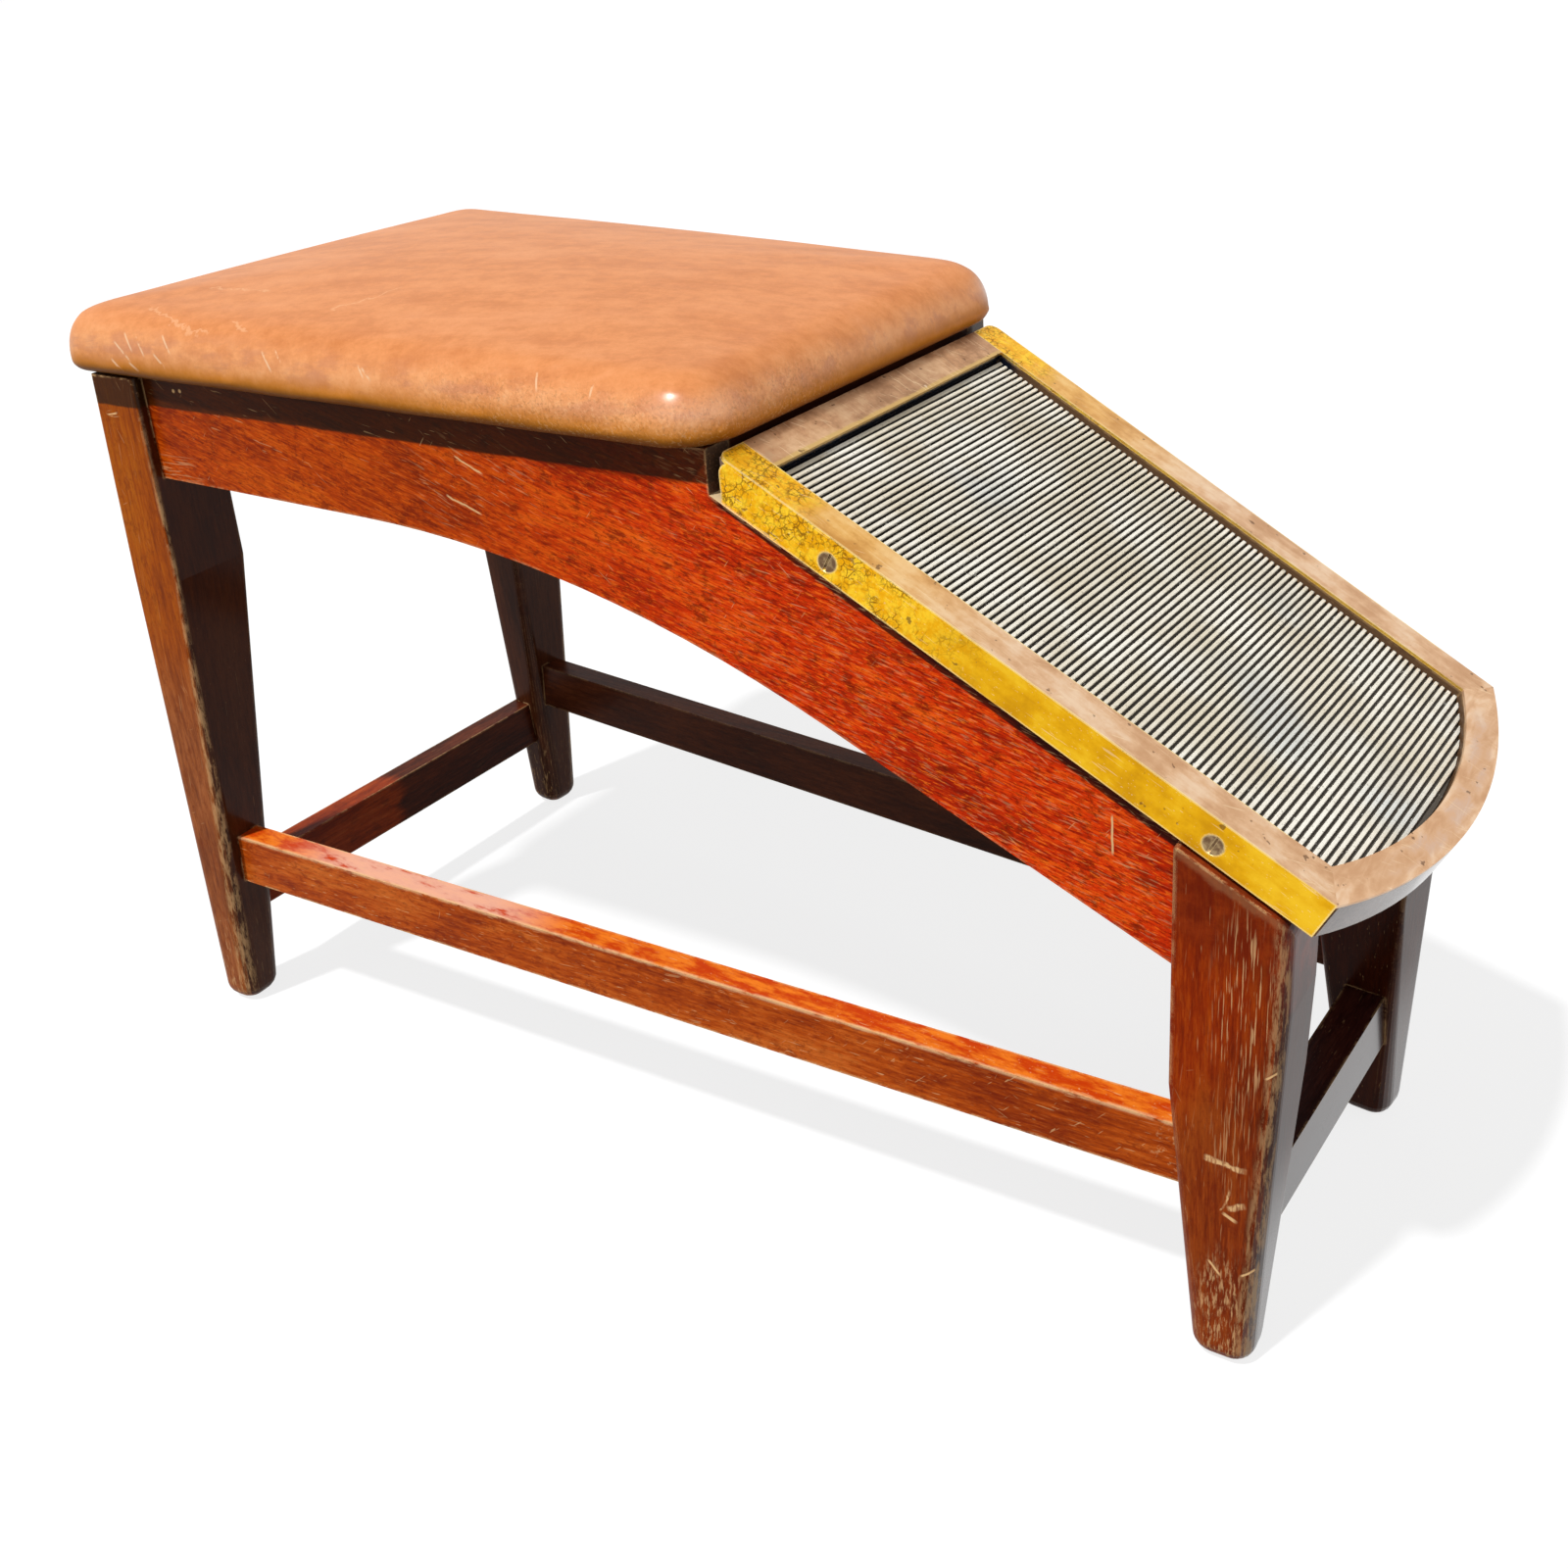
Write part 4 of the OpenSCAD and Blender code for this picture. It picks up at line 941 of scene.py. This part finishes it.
def settle(thing, start, moved):
    """Keeps the swell's shape but caps it: the crown upwards, a little at the sides."""
    rises = sorted(b.z - a.z for a, b in zip(start, moved))
    top = max(rises[int(len(rises) * 0.995)], 1e-5)
    middle, half_l = (low.x + high.x) / 2, (high.x - low.x) / 2
    for vertex, a, b in zip(thing.data.vertices, start, moved):
        step = b - a
        along = (a.x - middle) / half_l
        half_w = REAR_HALF + (FRONT_HALF - REAR_HALF) * (along + 1) / 2
        dome = max(1 - along ** 2, 0) * max(1 - (a.y / half_w) ** 2, 0)
        swell = min(max(step.z / top, 0), 1.05)
        upper = min(max((a.z - PAD_LOW - 0.012) / 0.014, 0), 1)
        side = Vector((step.x, step.y, 0))
        if side.length > MOST_SIDEWAYS:
            side = side.normalized() * MOST_SIDEWAYS
        vertex.co = a + side + Vector((0, 0, (0.45 * swell + 0.55 * dome) * CROWN * upper))
    return top


def soften(thing, repeats):
    """Evens out the roll, less and less towards the tacked edge."""
    group = thing.vertex_groups.new(name="roll")
    for vertex in thing.data.vertices:
        share = min(max((vertex.co.z - PAD_LOW - 0.006) / 0.01, 0), 1)
        group.add([vertex.index], share, "REPLACE")
    apply_new(thing, "soft_roll", "SMOOTH", factor=0.5, iterations=repeats, vertex_group="roll")


bpy.ops.object.select_all(action="DESELECT")
cushion.select_set(True)
bpy.context.view_layer.objects.active = cushion
apply_new(cushion, "even_faces", "REMESH", mode="VOXEL", voxel_size=VOXEL)
start, moved = blow_up(cushion, pressure=4, frames=20)
print("cloth rose", round(settle(cushion, start, moved) * 1000, 1), "mm before the cap")
soften(cushion, 12)
print("cushion:", len(cushion.data.polygons), "faces")

# %% [markdown]
# Leather that is pulled round a corner has to lose its extra length somewhere, and it goes
# into small pleats under the edge. We press a few shallow folds into the lower rim at each
# corner, then smooth the whole with one subdivision.

# %% Fold the corners
CORNERS = [(high.x - 0.025, FRONT_HALF - 0.024), (low.x + 0.018, REAR_HALF - 0.018)]
PLEAT_TOP, PLEAT = 0.014, 0.0009


def fold_corners(thing):
    folded = 0
    for vertex in thing.data.vertices:
        spot = vertex.co
        for cx, cy in CORNERS:
            away = Vector((spot.x - cx, abs(spot.y) - cy))
            outwards = away.x * (1 if cx > 0 else -1) > -0.006 and away.y > -0.006
            if outwards and spot.z < PAD_LOW + PLEAT_TOP and away.length > 0.004:
                angle = math.atan2(away.y, abs(away.x))
                depth = (1 - (spot.z - PAD_LOW) / PLEAT_TOP) * PLEAT
                wave = abs(math.sin(angle * 4.5)) ** 3
                pull = away.normalized() * depth * wave
                spot.x -= pull.x
                spot.y -= math.copysign(pull.y, spot.y)
                folded += 1
    return folded


print("pleated points:", fold_corners(cushion))
apply_new(cushion, "finer", "SUBSURF", levels=1, render_levels=1)
bpy.ops.object.shade_smooth()
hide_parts("seat_cover", "seat_padding")
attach(cushion, "root")

# %% [markdown]
# ## Tan leather
# Smooth cowhide has three scales of mark. A fine grain of tiny cells and crinkles covers it
# all and shows most where it is stretched over the edge; the crinkles are painted pale on
# their ridges and darker in their folds, as painted sheen and painted shade. Soft clouds of
# darker and lighter tan lie on top, drawn out along the seat by years of wiping. And there are
# creases: short pale lines down the rolled edge, each given here by its two ends, a few long
# faint folds near the rear corner, and one crease that runs over the front. The rolled edge is
# painted lighter than the top, as painted light. Towards the tacks the faces turn down and are
# painted ochre, as painted shade with reflected light, and a painted shadow darkens the lowest
# edge. The roll shines, and most of all at the front corners, where legs have polished it.

# %% Build the leather
CREASES = (((-0.2873, -0.1448, 0.3982), (-0.2759, -0.1491, 0.3931)),
           ((-0.2893, -0.1501, 0.393), (-0.282, -0.1527, 0.39)),
           ((-0.2768, -0.1496, 0.3927), (-0.2674, -0.1522, 0.3895)),
           ((-0.2811, -0.1412, 0.4013), (-0.2744, -0.1462, 0.3959)),
           ((-0.2723, -0.1416, 0.4003), (-0.2657, -0.1466, 0.3949)),
           ((-0.2588, -0.1453, 0.3958), (-0.2505, -0.1484, 0.3921)),
           ((-0.2543, -0.1389, 0.4018), (-0.2468, -0.1441, 0.3962)),
           ((-0.1859, -0.136, 0.4001), (-0.1787, -0.1409, 0.3948)),
           ((-0.1779, -0.1346, 0.401), (-0.1731, -0.1376, 0.3977)),
           ((-0.1252, -0.1329, 0.3991), (-0.1213, -0.1359, 0.3959)),
           ((-0.1229, -0.1333, 0.3986), (-0.1169, -0.136, 0.3955)),
           ((-0.0266, -0.1222, 0.4032), (-0.0238, -0.1274, 0.3978)),
           ((0.0036, -0.1219, 0.4014), (0.0038, -0.1258, 0.3976)))
FOLDS = (((-0.2781, -0.1243), (-0.2407, -0.1335)), ((-0.2407, -0.1335), (-0.2246, -0.1335)),
         ((-0.2162, -0.1245), (-0.2004, -0.1286)), ((-0.271, -0.0935), (-0.2304, -0.0901)),
         ((-0.1738, -0.1009), (-0.1629, -0.0807)), ((-0.1629, -0.0807), (-0.1632, -0.0662)))
SEAT_TOP = 0.413
ROLL_OUT = (0.047, -0.7, 0.71)
WIPED, ACROSS_WIPE = (0.94, 0.34, 0), (-0.34, 0.94, 0)


def leather_creases(place):
    """Short pale lines down the roll, and one long one over the front."""
    lines = strongest(scratch_line(place, *ends, 0.0007, ROLL_OUT) for ends in CREASES)
    front = scratch_line(place, (0.066, 0.01, 0.404), (0.075, -0.008, 0.394), 0.0008,
                         (0.8, 0, 0.6), 0.004)
    low_front = scratch_line(place, (0.0745, -0.007, 0.399), (0.0765, -0.01, 0.38), 0.0007, X,
                             0.002)
    broken = noise(place, 260, 2).step(0.34, 0.5)
    return lines * broken | front * 0.8 | low_front * 0.7


def leather_folds(place):
    """Long faint lines across the rear half, where the hide was folded."""
    folds = strongest(scratch_line(place, (*start, SEAT_TOP), (*end, SEAT_TOP), 0.0009, Z, 0.012)
                      for start, end in FOLDS)
    rest = near(place, (-0.1, 0.06, 0.41), (0.2, 0.1, 0.05))
    small = grained(place, (0.5, 0.86, 0), (0.86, -0.5, 0), 0.03, 0.004, 7.0, distortion=0.8)
    return folds * 0.9 | (1 - abs(small - 0.5).step(0.0, 0.01)) * rest * 0.2


def tan_leather():
    material, place = new_finish("tan_leather", Specular_IOR_Level=0.06,
                                         Coat_Roughness=0.29, Coat_IOR=2.1)
    cloud = grained(place, WIPED, ACROSS_WIPE, 0.06, 0.022, detail=6, roughness=0.7)
    mottle = noise(place, 110, 5, roughness=0.68)
    tone = (cloud * 0.6 + mottle * 0.45 - 0.02).step(0.3, 0.74)
    colour = tone.tones((202, 124, 71), (219, 142, 88), (228, 154, 103))
    height = place.along(Z)
    normal = place.node("NewGeometry", out="Normal")
    side = 1 - normal.along(Z).step(0.25, 0.85)
    # Painted light: the rolled edge all round is painted lighter than the top.
    colour = (side * 0.7).mix(colour, tone.tones((216, 132, 70), (240, 162, 98), (250, 182, 122)))
    rubbed = grained(place, WIPED, Z, 0.05, 0.012, 4, detail=5, roughness=0.65)
    brim = side * (1 - normal.along(Z).step(0.75, 0.95)) + 0.25
    colour = (rubbed.step(0.48, 0.62) * brim * 0.4).mix(colour, (196, 124, 88))
    # Painted shade with reflected light: the faces near the tacks, which turn down, go ochre, and a
    # painted shadow darkens the lowest edge.
    under = 1 - (height + mottle * 0.004).step(PAD_LOW + 0.006, PAD_LOW + 0.018)
    colour = (under * 0.9).mix(colour, (202, 122, 14))
    brink = 1 - (height + mottle * 0.002).step(PAD_LOW + 0.002, PAD_LOW + 0.0085)
    colour = (brink * 0.8).mix(colour, (84, 42, 4))
    cell = place.node("TexVoronoi", out="Distance", put={"Vector": place, "Scale": 560},
                      feature="F1")
    fine = noise(place, 700, 3, roughness=0.6)
    tight = side * near(place, (0.02, -0.1, 0.39), (0.16, 0.1, 0.06))
    corner = strongest(near(place, (0.052, side_y, 0.402), (0.03, 0.03, 0.024))
                       for side_y in (-0.116, 0.116))
    colour = (fine.step(0.52, 0.66) * (tight * 0.3 + 0.06)).mix(colour, (150, 88, 34))
    crinkle = grained(place, (0.55, -0.59, -0.59), (0.73, 0.48, 0.48), 0.003, 0.0013, 23,
                      detail=4, roughness=0.7, distortion=0.6)
    # Painted sheen and painted shade: the crinkles, which the bump also raises, are painted pale on
    # their ridges and darker in their folds.
    colour = ((1 - crinkle.step(0.38, 0.48)) * (tight * 0.17 + 0.03)).mix(
        colour, (160, 92, 40))
    colour = (crinkle.step(0.53, 0.63) * (tight * 0.17 + 0.02)).mix(colour, (255, 212, 160))
    crease, fold = leather_creases(place), leather_folds(place)
    colour = (crease * 0.75).mix(colour, (240, 198, 156))
    colour = (fold * 0.5).mix(colour, (234, 180, 136))
    relief = cell * -0.3 + fine * 0.3 + crinkle * 0.7 - crease * 0.9 - fold * 0.6
    return connect(material, Base_Color=colour, Roughness=mottle * 0.14 + 0.34,
                   Coat_Weight=(1 - under) * (side * (corner * 0.6 + 0.33) + 0.015),
                   Normal=bump(relief * (tight * 0.9 + 0.3), 0.24, 0.0008))


cushion.data.materials.clear()
cushion.data.materials.append(tan_leather())
print("leather:", cushion.data.materials[0].name)

# %% [markdown]
# ## Light and floor
# One high soft sun from the right lights the seat and the near side, and throws the seat's
# shadow on the rail below it. The world fills the shadows, more from the right and from the
# front than from elsewhere. Camera and glossy rays see it as plain white, so the brass mirrors
# a white studio. The floor throws little light back, but it glows to the camera and to glossy
# rays, so that it looks nearly white and the stool's shadow stays faint on it.

# %% Light the stool
FILL, SIDE_FILL, FRONT_FILL = 0.17, 0.34, 0.55
SUN, SUN_SIZE, TO_SUN = 2.95, 3, (-0.1, -0.45, 0.87)
FLOOR_GREY, FLOOR_GLOW = 0.24, 0.8


def empty_tree(owner):
    owner.use_nodes = True
    owner.node_tree.nodes.clear()
    return Wire(owner.node_tree)


def light_stool():
    data = bpy.data.lights.new("high_sun", "SUN")
    data.energy, data.angle = SUN, math.radians(SUN_SIZE)
    sun = bpy.data.objects.new("high_sun", data)
    bpy.context.scene.collection.objects.link(sun)
    sun.matrix_world = Vector(TO_SUN).normalized().to_track_quat("Z", "Y").to_matrix().to_4x4()
    world = bpy.data.worlds.new("studio")
    bpy.context.scene.world = world
    path = empty_tree(world)
    seen = strongest(path.node("LightPath", out=ray) for ray in (
        "Is Camera Ray", "Is Glossy Ray", "Is Transmission Ray"))
    gaze = path.node("TexCoord", out="Generated")
    fill = (gaze.along(RIGHT).step(0.0, 1.0) * SIDE_FILL + gaze.along(X).step(0.2, 1.0) * FRONT_FILL
            + FILL)
    strength = seen + (1 - seen) * fill
    glow = path.node("Background", put={"Color": (1, 1, 1, 1), "Strength": strength})
    path.node("OutputWorld", put={"Surface": glow})


def lay_floor():
    bpy.ops.object.select_all(action="DESELECT")
    bpy.ops.mesh.primitive_plane_add(size=24, location=(0, 0, 0))
    floor = bpy.context.object
    floor.name = "pale_floor"
    material = bpy.data.materials.new("pale_floor")
    wire = empty_tree(material)
    chalk = wire.node("BsdfDiffuse", put={"Color": (FLOOR_GREY, FLOOR_GREY, FLOOR_GREY, 1)})
    seen = strongest(wire.node("LightPath", out=ray) for ray in ("Is Camera Ray", "Is Glossy Ray"))
    glow = wire.node("Emission", put={"Color": (1, 1, 1, 1), "Strength": seen * FLOOR_GLOW})
    both = wire.node("AddShader", put={0: chalk, 1: glow})
    wire.node("OutputMaterial", put={"Surface": both})
    floor.data.materials.append(material)


light_stool()
lay_floor()
bpy.context.scene.view_settings.view_transform = "Standard"
print("sun", SUN, "fill from", FILL, "to", round(FILL + SIDE_FILL + FRONT_FILL, 2))
